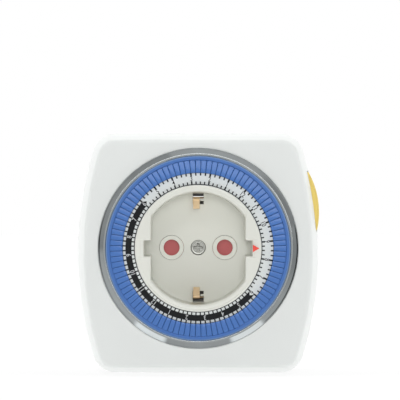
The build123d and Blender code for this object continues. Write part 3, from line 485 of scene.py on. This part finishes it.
dial = {  # mm
    "corners": [(21.85, 48), (23.15, 48), (23.15, 52.9), (25.25, 52.9), (25.25, 48), (32.56, 48),
                (32.56, 56.5), (31.04, 56.5), (31.04, 50), (26.55, 50), (26.55, 54.2), (22.4, 54.2),
                (22.4, 55), (21.85, 55)],
    "rounding": [0.1, 0.1, 0.1, 0.1, 0.1, 0.15, 0.14, 0.1, 0.1, 0.1, 0.05, 0.05, 0.1, 0.1],
    "ring": (22.45, 26.5, 54.2, 55.0),  # radii and heights of the number ring
    "hour": 15,  # degrees
    "nineAt": 5.6,  # degrees of the nine o'clock mark
}
skirt = {  # mm
    "inner": 29.45,
    "back": 45.2,
    "front": 48.1,
    "teeth": 96,
    "root": 30.45,
    "tip": 31.72,
    "half": 0.30,  # a tooth's half width at the root, and what its flank takes of it, in pitches
    "flank": 0.13,
}


def skirtMesh():
    # a tooth is a flat tip, a flat root and two straight flanks between them, as the angle goes on
    inner, back, front, teeth = (skirt[k] for k in ("inner", "back", "front", "teeth"))
    angle = np.linspace(0, 2 * math.pi, teeth * 8, endpoint=False)
    phase = (angle * teeth / (2 * math.pi)) % 1
    tooth = np.clip((skirt["half"] - np.abs(phase - 0.5)) / skirt["flank"], 0, 1)
    outer = skirt["root"] + (skirt["tip"] - skirt["root"]) * tooth
    radius = np.stack([inner + 0 * angle, inner + 0 * angle, outer, outer])
    height = np.array([back, front, front, back])[:, None] + 0 * angle
    points = np.stack([radius * np.cos(angle), -height, radius * np.sin(angle)], -1)
    return buildMesh("dialSkirt", points, gridFaces(*points.shape[:2]), sharp=30)


dialMesh = turnedMesh("dialBody", dial["corners"], dial["rounding"], 240)
place("dialBody", dialMesh, "dial", "dial_blue", ["dial_carrier"])
place("dialSkirt", skirtMesh(), "dial", "dial_blue", ["dial_carrier"])

printing = {  # edges are places and how soft they are: mm from the band's middle, or shares of an hour
    "bandRadius": 24.55,  # middle of the band that holds the numbers
    "bandEdge": (1.05, 0.03),
    "dayStart": (6.0, 0.008),
    "dayEnd": (18.0, 0.008),
    "pointHalf": 1.15,  # mm, half the width of the point where day and night meet
    "pointReach": 0.2,  # and its length in hours
    "quarterTick": (0.14, 0.03),  # shares of a quarter
    "hourTick": (0.045, 0.008),
    "hourTickStart": (0.85, 0.03),
    "blacks": [(16, 17, 18), (26, 27, 29)],
    "whites": [(228, 232, 229), (236, 239, 236)],
    "cloudScale": 400,  # clouds in a metre
    "roughness": 0.42,
    "inkRoughness": 0.1,  # what the black adds to it
}


def ringPaint(tree):
    # the print goes by the angle and the radius: quarter-hour ticks along both edges, a black band for
    # the night half, and a pointed change at both six o'clocks; inside the lip's radius a painted shadow line
    x, y, z = axes(tree, objectPlace(tree))
    angle = tree.maths("ARCTAN2", z, x) * (180 / math.pi)
    radius = tree.maths("SQRT", x * x + z * z) * 1000
    hour = tree.maths("FLOORED_MODULO", (angle - dial["nineAt"]) / dial["hour"] + 9, 24.0)
    quarter = tree.maths("FLOORED_MODULO", hour * 4 + 0.5, 1.0) - 0.5
    whole = tree.maths("FLOORED_MODULO", hour + 0.5, 1.0) - 0.5
    fromMiddle = abs(radius - printing["bandRadius"])
    point = (printing["pointHalf"] - fromMiddle) * (printing["pointReach"] / printing["pointHalf"])
    shifted = hour + tree.maths("MAXIMUM", point, 0.0)
    day = shifted.above(*printing["dayStart"]) * (1 - shifted.above(*printing["dayEnd"]))
    tick = 1 - abs(quarter).above(*printing["quarterTick"])
    hourTick = 1 - abs(whole).above(*printing["hourTick"])
    atHour = hourTick * fromMiddle.above(*printing["hourTickStart"])
    row = fromMiddle.above(*printing["bandEdge"])
    dayInk = tick * row + atHour - tick * row * atHour
    night = 1 - row * (1 - tick)
    # painted shadow: the ring's inner edge is painted black where the gap's shade falls
    edge = 1 - radius.above(*dialShadeAndLight["lip"])
    black = tree.maths("MAXIMUM", day.blendValues(night, dayInk), edge)
    cloudy = cloud(tree, printing["cloudScale"], 2)
    blacks, whites = (cloudy.blend(*(written(*c) for c in printing[k])) for k in ("blacks", "whites"))
    return {
        "Base Color": black.blend(whites, blacks),
        "Roughness": printing["roughness"] + printing["inkRoughness"] * black,
        "Specular IOR Level": 0.2,
        "Normal": relief(tree, cloud(tree, skin["grainScale"]), 0.2, 0.000003),
    }


inner, outer, back, front = dial["ring"]
ringMesh = turnedMesh("numberRing", [(inner, back), (outer, back), (outer, front), (inner, front)],
                      [0.05] * 4, 240)
place("numberRing", ringMesh, "dial", "ring_print", ["number_ring"], newMaterial("ringPrint", ringPaint))

numbers = {  # mm
    "radius": 24.5,
    "size": 2.35,
    "narrow": 0.82,  # width as a share of the plain letter's
    "thick": 0.006,
    "bold": 0.02,  # how far the strokes grow
}


def meshOf(data):  # a curve or a text as a mesh
    thing = bpy.data.objects.new(data.name, data)
    mesh = bpy.data.meshes.new_from_object(thing)
    bpy.data.objects.remove(thing)
    return mesh


def numbersMesh(name, hours):
    # each number is narrowed, set up on the ring with its top outwards, and turned to its hour
    joined = bmesh.new()
    for hour in hours:
        data = bpy.data.curves.new("number", "FONT")
        data.body = str((hour - 1) % 12 + 1)
        data.size = numbers["size"] * 0.001
        data.align_x = "CENTER"
        data.align_y = "CENTER"
        data.extrude = numbers["thick"] * 0.001
        data.offset = numbers["bold"] * 0.001
        data.resolution_u = 4
        mesh = meshOf(data)
        mesh.transform(Matrix.Scale(numbers["narrow"], 4, (1, 0, 0)))
        theta = math.radians(dial["nineAt"] + (hour - 9) * dial["hour"])
        up = Matrix.Rotation(math.pi / 2, 4, "X")
        around = Matrix.Rotation(math.pi / 2 - theta, 4, "Y")
        height = dial["ring"][3] + numbers["thick"]
        away = Matrix.Translation((0, -height * 0.001, numbers["radius"] * 0.001))
        mesh.transform(around @ away @ up)
        joined.from_mesh(mesh)
        bpy.data.meshes.remove(mesh)
    mesh = bpy.data.meshes.new(name)
    joined.to_mesh(mesh)
    joined.free()
    return mesh


place("dayNumbers", numbersMesh("dayNumbers", range(6, 18)), "dial", "ring_print", material=inkBlack)
place("nightNumbers", numbersMesh("nightNumbers", range(18, 30)), "dial", "ring_print", material=inkWhite)
print("dial made")

tripper = {  # mm
    "perDay": 96,
    "first": 8.625,  # hour at the pointer
    "inner": 26.58,
    "outer": 31.0,
    "back": 52.1,
    "front": 57.3,
    "gap": 0.13,  # between two tabs
    "edge": 0.12,
    "crown": 0.1,  # how far the top falls to its sides
    "slope": 0.1,  # the tops fall outwards
}


def bankMesh(hour):
    # four tabs at once: a section that is a box with a rounded top goes out along the radius, as wide as
    # the pitch at that radius less the gap, and the end sections are drawn in a little
    pitch = 2 * math.pi / tripper["perDay"]
    count = hour * 4 + np.arange(4) + 0.5
    middle = (count / 4 - tripper["first"]) * math.pi / 12
    e = tripper["edge"]
    length = tripper["outer"] - tripper["inner"]
    along = np.array([0, e * 0.3, e, 1.9, 2.3, length - e, length - e * 0.3, length]) + tripper["inner"]
    drop = np.array([e, e * 0.3, 0, 0, 0, 0, e * 0.3, e])
    side = np.array([-1, -1, -1, -0.93, -0.8, 0, 0.8, 0.93, 1, 1, 1])
    high = np.array([0, 0.5, 1, 1, 1, 1, 1, 1, 1, 0.5, 0])
    dip = tripper["crown"] * np.array([0, 0, 1, 0.25, 0, 0, 0, 0.25, 1, 0, 0])
    half = along * math.tan(pitch / 2) - tripper["gap"] / 2
    top = tripper["front"] - drop - tripper["slope"] * (along - tripper["inner"])
    width = half[:, None] * side
    height = tripper["back"] + (top[:, None] - tripper["back"]) * high - dip
    c, s = np.cos(middle)[:, None, None], np.sin(middle)[:, None, None]
    x = along[None, :, None] * c - width * s
    z = along[None, :, None] * s + width * c
    points = np.stack([x, -height + 0 * x, z], -1)
    rows, columns = height.shape
    starts = rows * columns * np.arange(4)
    quads = np.concatenate([gridFaces(rows, columns, False) + start for start in starts])
    caps = [cap + start for start in starts for cap in endCaps(rows, columns)]
    return buildMesh(f"tabs{hour:02d}", points, quads, caps)


for hour in range(24):
    place(f"tabs{hour:02d}", bankMesh(hour), f"tripper_bank_{hour:02d}", "tripper_blue",
          [f"tripper_bank_{hour:02d}"])
print("trippers made")

socket = {  # mm
    "radius": 19.55,
    "flat": 16.5,  # the flats' distance from the middle
    "reach": 19.0,  # of the guide slots, and half their width
    "half": 2.6,
    "floor": 40.0,
    "under": 37.5,
    "floorGrow": 0.35,  # how far the floor reaches into the wall
    "floorBevel": 0.06,
    "rim": 57.5,
    "draft": 1.0,  # degrees
    "collar": 22.3,
    "collarBack": 56.3,
    "sleeve": 21.7,
    "innerEdge": 1.2,
    "collarDip": 0.3,  # fall of the collar's top towards the well
    "holes": 9.5,  # from the middle
    "hole": 2.85,
    "cone": 4.3,  # radius of the funnel round a hole
    "coneAngle": 61,  # degrees
    "coneGap": 0.12,  # fine line between funnel and floor
    "screwHole": 2.7,
    "slotHalf": 1.95,  # the earth slots, and the rib in each
    "slotStart": 15.5,
    "slotEnd": 19.4,
    "ribStart": 0.78,
    "ribAt": 17.0,
    "ribHalf": 0.35,
}


def guideOutline(grow):
    # a quarter is the slot's end, its side, the flat and the arc, each with the same shares of its length,
    # and the other quarters are its mirror images. The flats and slots open less than the arcs
    r = socket["radius"] + grow
    f, l, w = (socket[k] + 0.3 * grow for k in ("flat", "reach", "half"))
    corner = np.sqrt(r * r - f * f)
    short = np.array([0.06, 0.35, 0.65, 0.94])
    arcStart = np.arctan2(corner, f)
    arc = arcStart + (math.pi / 2 - arcStart) * np.linspace(0.012, 1, 30)
    one = np.ones(4)
    x = np.concatenate([l * one, l + (f - l) * short, f * one, r * np.cos(arc)])
    z = np.concatenate([w * (short - 0.06), w * one, w + (corner - w) * short, r * np.sin(arc)])
    x = np.concatenate([x, -x[-2::-1], -x[1:], x[-2:0:-1]])
    z = np.concatenate([z, z[-2::-1], -z[1:], -z[-2:0:-1]])
    return np.stack([x, z], -1)


def wellMesh():
    # rows go up the well's wall, whose outline grows with the draft, round its edge, over the collar to a
    # circle, and down the sleeve: a row mixes an outline and a circle, at a height. The profiles' other
    # corners, at 3 and 19, are left out and only give a direction
    slope = math.tan(math.radians(socket["draft"]))
    rim, under, collar, back, sleeve = (socket[k] for k in ("rim", "under", "collar", "collarBack", "sleeve"))
    lip = rim - socket["collarDip"]
    wall = roundedProfile([(0, under), ((lip - under) * slope, lip), (3, lip), (3, under)],
                          [0.1, socket["innerEdge"], 0.1, 0.1], 5, 1, 2)
    wall = np.concatenate([[(0.0, under)], wall])
    outside = roundedProfile(
        [(19, under), (19, rim), (collar, rim), (collar, back), (sleeve, back), (sleeve, under)],
        [0.1, 0.1, 0.35, 0.1, 0.1, 0.15], first=2)
    low, grown = guideOutline(0.0), guideOutline(1.0)
    angle = np.arctan2(low[:, 1], low[:, 0])
    share = np.array([0.2, 0.4, 0.6, 0.8])  # the collar's rows, from outline to circle
    over = rim - socket["collarDip"] * np.array([0.9, 0.55, 0.2, 0.0])
    shift = np.concatenate([wall[:, 0], np.full(len(share) + len(outside), wall[-1, 0])])
    height = np.concatenate([wall[:, 1], over, outside[:, 1]])
    radius = np.concatenate([np.full(len(wall) + len(share), outside[0, 0]), outside[:, 0]])
    mix = np.concatenate([0 * wall[:, 0], share, 0 * outside[:, 0] + 1])
    guide = low + shift[:, None, None] * (grown - low)
    circle = radius[:, None, None] * np.stack([np.cos(angle), np.sin(angle)], -1)
    flat = (1 - mix[:, None, None]) * guide + mix[:, None, None] * circle
    points = np.stack([flat[..., 0], -height[:, None] + 0 * flat[..., 0], flat[..., 1]], -1)
    return buildMesh("socketWell", points, gridFaces(*points.shape[:2]), sharp=60)


def flatCurveMesh(name, outlines, thickness, bevel, height):
    # closed outlines in one flat curve, the first its edge and the others holes, which is given its
    # thickness and a bevel that stays inside it, and stood up at its height
    data = bpy.data.curves.new(name, "CURVE")
    data.dimensions = "2D"
    data.fill_mode = "BOTH"
    data.extrude = (thickness / 2 - bevel) * 0.001
    data.bevel_depth = bevel * 0.001
    data.bevel_resolution = 1
    data.offset = -bevel * 0.001
    for outline in outlines:
        spline = data.splines.new("POLY")
        spline.points.add(len(outline) - 1)
        flat = np.concatenate([outline * 0.001, outline * 0 + [0, 1]], 1)
        spline.points.foreach_set("co", flat.ravel())
        spline.use_cyclic_u = True
    mesh = meshOf(data)
    middle = Matrix.Translation((0, -(height - thickness / 2) * 0.001, 0))
    mesh.transform(middle @ Matrix.Rotation(math.pi / 2, 4, "X"))
    mesh.polygons.foreach_set("use_smooth", np.full(len(mesh.polygons), True))
    mesh.set_sharp_from_angle(angle=math.radians(50))
    return mesh


def circleOutline(radius, x=0.0):  # its middle plus the radius times the cosine and sine of an even angle
    angle = np.linspace(0, 2 * math.pi, 64, endpoint=False)
    return np.stack([x + radius * np.cos(angle), radius * np.sin(angle)], -1)


def slotOutline(end):  # an earth slot with the rib that reaches in from one side
    a, b, start, stop = (socket[k] for k in ("slotHalf", "ribStart", "slotStart", "slotEnd"))
    low, high = socket["ribAt"] - socket["ribHalf"], socket["ribAt"] + socket["ribHalf"]
    points = [(-a, start), (a, start), (a, low), (b, low), (b, high), (a, high), (a, stop), (-a, stop)]
    return np.array(points) * np.array([1, end])


place("socketWell", wellMesh(), "housing", "socket_grey", ["socket_insert"])
hole, cone, gap = socket["hole"], socket["cone"], socket["coneGap"]
under, level = socket["under"], socket["floor"]
floorOutlines = [guideOutline(socket["floorGrow"]), circleOutline(cone + gap, -socket["holes"]),
                 circleOutline(cone + gap, socket["holes"]), circleOutline(socket["screwHole"]),
                 slotOutline(1), slotOutline(-1)]
floorPlate = flatCurveMesh("socketFloor", floorOutlines, level - under, socket["floorBevel"], level)
place("socketFloor", floorPlate, "housing", "socket_grey", ["socket_insert"])
coneFoot = level - (cone - hole) / math.tan(math.radians(socket["coneAngle"]))
funnelCorners = [(hole, under), (cone, under), (cone, level), (cone - gap, level), (hole, coneFoot)]
for side, name in ((-1, "funnelLeft"), (1, "funnelRight")):
    mesh = turnedMesh(name, funnelCorners, [0.05, 0.05, 0.03, 0.04, 0.2], 96, (side * socket["holes"], 0))
    place(name, mesh, "housing", "socket_grey", ["socket_insert"], funnelLitPlastic)

centreScrew = {  # mm
    "radius": 2.6,
    "back": 38.35,
    "front": 39.7,
    "shank": 1.4,
    "end": 10.4,
    "slot": 0.36,  # half width of the cross, and how far it reaches
    "reach": 1.5,
    "depth": 0.8,
}
backScrew = dict(centreScrew, radius=2.5, back=24.9, front=23.0, end=44.9, depth=0.9)  # faces back
backPlaces = [(side * 29.536, up) for side in (-1, 1) for up in (-36.4, 32.5)]


def screwSurface(look, facing=1, at=(0, 0)):
    # the head's face is a polar grid: its height falls by the recess depth inside either bar of the cross,
    # softened at the bars' edges, and by a fine groove near the rim, a bell curve of the radius. From the
    # rim the rows go on to the side, the shoulder and the shank
    angle = np.linspace(0, 2 * math.pi, 96, endpoint=False)
    size = look["radius"] / 2.6  # the rings and the groove are drawn for a head of 2.6 mm
    rings = np.concatenate([np.linspace(0.02, 1.9, 34), [2.1, 2.3, 2.42]]) * size
    x, z = rings[:, None] * np.cos(angle), rings[:, None] * np.sin(angle)
    inOne, inTwo = (np.clip((look["slot"] - np.abs(a)) / 0.08 + 0.5, 0, 1)
                    * np.clip((look["reach"] - np.abs(b)) / 0.1 + 0.5, 0, 1) for a, b in ((x, z), (z, x)))
    groove = 0.12 * np.exp(-((rings - 1.95 * size) / 0.09) ** 2)[:, None]
    top = look["front"] - facing * (look["depth"] * np.maximum(inOne, inTwo) + groove)
    outer = np.array([2.53 * size, look["radius"], look["radius"], look["shank"], look["shank"]])
    rounding = look["front"] - facing * np.array([0.06, 0.18])
    level = np.concatenate([rounding, [look["back"], look["back"], look["end"]]])
    x = np.concatenate([x, outer[:, None] * np.cos(angle)])
    z = np.concatenate([z, outer[:, None] * np.sin(angle)])
    h = np.concatenate([top, level[:, None] + 0 * angle])
    points = np.stack([x + at[0], -h, z + at[1]], -1)
    return points, gridFaces(*x.shape, False), endCaps(*x.shape)


def backScrewsMesh():
    # one surface for each place, with its point numbers moved on past those before it
    surfaces = [screwSurface(backScrew, -1, at) for at in backPlaces]
    points = np.concatenate([p.reshape(-1, 3) for p, quads, caps in surfaces])
    step = len(points) // len(surfaces)
    quads = np.concatenate([quads + i * step for i, (p, quads, caps) in enumerate(surfaces)])
    caps = [cap + i * step for i, (p, quads, ends) in enumerate(surfaces) for cap in ends]
    return buildMesh("backScrews", points, quads, caps, sharp=40)


headMesh = buildMesh("centreScrewHead", *screwSurface(centreScrew), sharp=40)
place("centreScrewHead", headMesh, "housing", "screw_steel", ["centre_screw"])
place("backScrews", backScrewsMesh(), "housing", "screw_steel", ["housing_screws"])

finger = {  # mm
    "offset": 17.8,
    "thickness": 0.7,
    "wide": (5.0, 0.0, 1.2, 35.4),  # width, shift, and the heights it runs between
    "narrow": (2.3, -0.6),  # width and shift
    "foot": 0.6,  # how far it goes straight on past the floor
    "bend": (14.1, 47.2),
    "tip": (17.0, 53.6),
    "rounding": [0.05, 0.7, 0.9, 0.05],
}


def stripMesh(name, path, thickness, width, shift, end=1):
    # a path of offset and height goes a half thickness to either side along its normals, the mean of the
    # two runs' at a corner, and a half width to either side across
    path = np.asarray(path, float)
    run = np.diff(path, axis=0)
    run /= np.linalg.norm(run, axis=1, keepdims=True)
    middle = np.concatenate([run[:1], run[:-1] + run[1:], run[-1:]])
    middle /= np.linalg.norm(middle, axis=1, keepdims=True)
    follows = np.concatenate([run, run[-1:]])
    normal = np.stack([middle[:, 1], -middle[:, 0]], -1) / (middle * follows).sum(1, keepdims=True)
    t, w = thickness / 2, width / 2
    corners = np.array([(-t, -w), (-t, w), (t, w), (t, -w)])
    flat = path[:, None] + corners[:, :1] * normal[:, None]
    x = shift + corners[:, 1] + 0 * flat[..., 0]
    points = np.stack([x, -flat[..., 1], end * flat[..., 0]], -1)
    return buildMesh(name, points, gridFaces(*x.shape, False), endCaps(*x.shape), sharp=35)


def bentPath(corners, radii):  # an open path whose inner corners are rounded
    return np.concatenate([corners[:1], roundedProfile(corners, radii, 5, 1, -1), corners[-1:]])


offset, thickness = finger["offset"], finger["thickness"]
width, shift, low, high = finger["wide"]
path = [(offset, high), (offset, socket["floor"] + finger["foot"]), finger["bend"], finger["tip"]]
for end, name in ((1, "top"), (-1, "bottom")):
    straight = stripMesh("earthBlade", [(offset, low), (offset, high)], thickness, width, shift, end)
    bent = stripMesh("earthFinger", bentPath(path, finger["rounding"]), thickness, *finger["narrow"], end)
    for part, mesh in (("earthBlade", straight), ("earthFinger", bent)):
        place(f"{part}_{name}", mesh, "housing", "earth_metal", [f"earth_strip_{name}"])
print("socket made")

leaf = {  # mm; the path's places are height above the axis and height to the front
    "path": [(-9.2, 39.75), (-6.2, 39.75), (-8.45, 42.9)],
    "rounding": [0.05, 0.6, 0.05],
    "middle": 28.25,
    "width": 1.7,
    "thickness": 0.3,
}
leafPath = bentPath(leaf["path"], leaf["rounding"])
leafMesh = stripMesh("leverLeaf", leafPath, leaf["thickness"], leaf["width"], leaf["middle"])
leverLeaf = place("leverLeaf", leafMesh, None, "spring_steel", ["lever_spring"])
foot, tip = (Vector((leaf["middle"], -leaf["path"][i][1], leaf["path"][i][0])) / 1000 for i in (1, 2))
tip.z = foot.z  # the tip is given the foot's height, so the two differ by their height alone; neither point is used further
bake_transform(leverLeaf)
print("lever spring made")

slide = {  # mm
    "half": 10.4,
    "bulge": 2.6,
    "back": 38.25,
    "front": 46.65,
    "edge": 0.5,
    "depth": 3.4,  # how far the cap reaches in behind the wall
}


def slideMesh():
    # the cap's outline is a chord with a shallow arc outside it, of a radius that is the sum of the squares
    # of half the chord and the bulge over twice the bulge. It goes from back to front, drawn in towards
    # both ends by a quarter circle
    half, rounding = slide["half"], slide["edge"]
    chord = housing["sideRadius"] + wallOffset(slide["front"])
    bulge = slide["bulge"] + flare(slide["front"]) - wallOffset(slide["front"])
    radius = (half * half + bulge * bulge) / (2 * bulge)
    spread = math.asin(half / radius)
    arc = np.linspace(-spread, spread, 41)
    turn = np.linspace(0, math.pi / 2, 6)
    inset = rounding * (1 - np.sin(turn))
    rise = rounding * (1 - np.cos(turn))
    inset = np.concatenate([inset, inset[::-1]])[:, None]
    height = np.concatenate([slide["back"] + rise, slide["front"] - rise[::-1]])
    out = chord + bulge - radius + (radius - inset) * np.cos(arc)
    across = (radius - inset) * np.sin(arc)
    inside = np.full(inset.shape, chord - slide["depth"])
    out = np.concatenate([inside, out, inside], 1)
    across = np.concatenate([across[:, :1], across, across[:, -1:]], 1)
    c, s = math.cos(slideAngle), math.sin(slideAngle)
    x = housing["width"] / 2 - housing["sideRadius"] + out * c - across * s
    z = housing["middle"] + out * s + across * c
    points = np.stack([x, -height[:, None] + 0 * x, z], -1)
    return buildMesh("slideCap", points, gridFaces(*x.shape, False), endCaps(*x.shape), sharp=60)


place("slideCap", slideMesh(), "override", "slide_yellow", ["override_slide"])
print("slide made")

studio = {
    "floorLevel": -44.72,  # mm, just under the housing
    "floorHalf": 4.0,  # m
    "floorGlow": 0.8,  # share of the floor that stays white in the shadow
    "floorLight": 0.95,  # how bright the floor is to all but the camera
    "front": 0.08,  # world light from the front
    "behind": 0.8,
    "turnEdge": (0.0, 0.15),  # where the one turns into the other, along +Y, and how softly
    "around": 2.6,  # from a narrow ring at the sides
    "ringEdge": (0.22, 0.1),
    "lampTarget": (0, -0.04, 0),  # m
    "distance": 1000.0,  # camera from the front face
    "frameWidth": 140.8,  # what the frame spans there
    "cameraX": 0.65,
    "cameraZ": 17.0,
}
lamps = {  # place in metres, size and power
    "keyLight": ((-0.15, -1.1, 0.68), 0.3, 1.8),  # above
    "fillLight": ((0.05, -1.6, 0.14), 0.4, 7.4),  # beside the camera
}

# what glossy rays find. The tables go round the axis that faces forward: degrees anticlockwise from +X,
# and how bright
reflections = {
    "band": [(-180, 0.25), (-176, 0.38), (-150, 0.44), (-130, 0.46), (-128.5, 0.90), (-110, 0.92),
             (-109, 0.34), (-90, 0.37), (-71, 0.36), (-70, 0.90), (-50, 0.88), (-49, 0.40), (-30, 0.36),
             (-12, 0.26), (0, 0.24), (11, 0.30), (13, 0.24), (40, 0.24), (52, 0.36), (90, 0.40),
             (106, 0.38), (108, 0.28), (132, 0.26), (136, 0.29), (172, 0.29), (180, 0.25)],
    "rim": [(-180, 0.02), (-174, 0.12), (-150, 0.32), (-130, 0.36), (-128, 0.84), (-110, 0.86),
            (-109, 0.30), (-90, 0.33), (-71, 0.34), (-70, 0.90), (-50, 0.88), (-49, 0.26), (-34, 0.08),
            (-10, 0.01), (8, 0.01), (14, 0.24), (30, 0.33), (60, 0.35), (90, 0.39), (106, 0.38),
            (110, 0.25), (150, 0.24), (168, 0.12), (176, 0.02)],
    "bright": 1.5,  # times the two tables
    "rimEdge": (-0.33, 0.04),  # the rim's table holds before this much of +Y, the band's after it
    "frontEdge": (-0.72, 0.08),  # and the glare before this
    "glareEdge": (0.13, 0.05),  # height of the bright upper half of the glare
    "glareTilt": 0.15,
    "glare": (0.62, 2.2),  # its lower half, and what the upper adds
    "backEdge": (0.5, 0.15),  # from here on a shallow glance off the walls finds the glow
    "backGlow": 1.5,
}

world = bpy.data.worlds.new("studio")
scene.world = world
world.use_nodes = True
sky = Wire(world.node_tree)
background = world.node_tree.nodes["Background"]


def ringRamp(angle, stops):  # brightness by the angle, from a table
    return sky.add("ShaderNodeValToRGB", {"stops": [((a + 180) / 360, (b, b, b, 1)) for a, b in stops]},
                   {0: (angle + 180) / 360})


def grey(level):  # a number as a colour
    return sky.add("ShaderNodeCombineColor", None, {0: level, 1: level, 2: level})


sx, sy, sz = axes(sky, sky.add("ShaderNodeTexCoord", output="Generated"))
around = sky.maths("ARCTAN2", sz, sx) * (180 / math.pi)
band, rim = (ringRamp(around, reflections[k]) for k in ("band", "rim"))
mirrored = sky.add("ShaderNodeMix", {"data_type": "RGBA", "blend_type": "MULTIPLY"},
                   {0: 1.0, 6: sy.above(*reflections["rimEdge"]).blend(rim, band),
                    7: (reflections["bright"],) * 3 + (1,)}, 2)
lower, added = reflections["glare"]
glare = (sz + reflections["glareTilt"] * sx).above(*reflections["glareEdge"]) * added + lower
mirrored = sy.above(*reflections["backEdge"]).blend(mirrored, (reflections["backGlow"],) * 3 + (1,))
mirrored = (1 - sy.above(*reflections["frontEdge"])).blend(mirrored, grey(glare))
fromFront = sy.above(*studio["turnEdge"]).blendValues(studio["front"], studio["behind"])
plain = abs(sy).above(*studio["ringEdge"]).blendValues(studio["around"], fromFront)
rays = sky.add("ShaderNodeLightPath").socket.node.outputs
camera, glossy = Wire(sky.tree, rays["Is Camera Ray"]), Wire(sky.tree, rays["Is Glossy Ray"])
light = camera.blend(glossy.blend(grey(plain), mirrored), (1, 1, 1, 1))
world.node_tree.links.new(light.socket, background.inputs["Color"])
background.inputs["Strength"].default_value = 1.0

cameraData = bpy.data.cameras.new("camera")
cameraData.sensor_width = 36
cameraData.lens = cameraData.sensor_width * studio["distance"] / studio["frameWidth"]
cameraData.clip_end = 10
cameraObject = bpy.data.objects.new("camera", cameraData)
cameraY = -(housing["front"] + studio["distance"])
cameraObject.location = Vector((studio["cameraX"], cameraY, studio["cameraZ"])) / 1000
cameraObject.rotation_euler = (math.pi / 2, 0, 0)
scene.collection.objects.link(cameraObject)
scene.camera = cameraObject

for name, (at, size, power) in lamps.items():
    data = bpy.data.lights.new(name, "AREA")
    data.shape = "SQUARE"
    data.size = size
    data.energy = power
    lamp = bpy.data.objects.new(name, data)
    lamp.location = at
    lamp.rotation_mode = "QUATERNION"
    lamp.rotation_quaternion = (Vector(studio["lampTarget"]) - Vector(at)).to_track_quat("-Z", "Y")
    lamp.visible_glossy = False
    scene.collection.objects.link(lamp)

level, half = studio["floorLevel"] / 1000, studio["floorHalf"]
corners = [(-half, -half, level), (half, -half, level), (half, half, level), (-half, half, level)]
floorMesh = bpy.data.meshes.new("floor")
floorMesh.from_pydata(corners, [], [(0, 1, 2, 3)])
floor = bpy.data.objects.new("floor", floorMesh)
scene.collection.objects.link(floor)
floor.visible_glossy = False


def floorPaint(tree):  # the camera sees the floor plain white, and all else is lit by it a little less
    seen = Wire(tree.tree, tree.add("ShaderNodeLightPath").socket.node.outputs["Is Camera Ray"])
    return {
        "Base Color": (1 - studio["floorGlow"],) * 3 + (1,),
        "Roughness": 0.7,
        "Specular IOR Level": 0.0,
        "Emission Color": seen.blend((studio["floorLight"],) * 3 + (1,), (1, 1, 1, 1)),
        "Emission Strength": studio["floorGlow"],
    }


floorMesh.materials.append(newMaterial("paleFloor", floorPaint))
print("studio set")
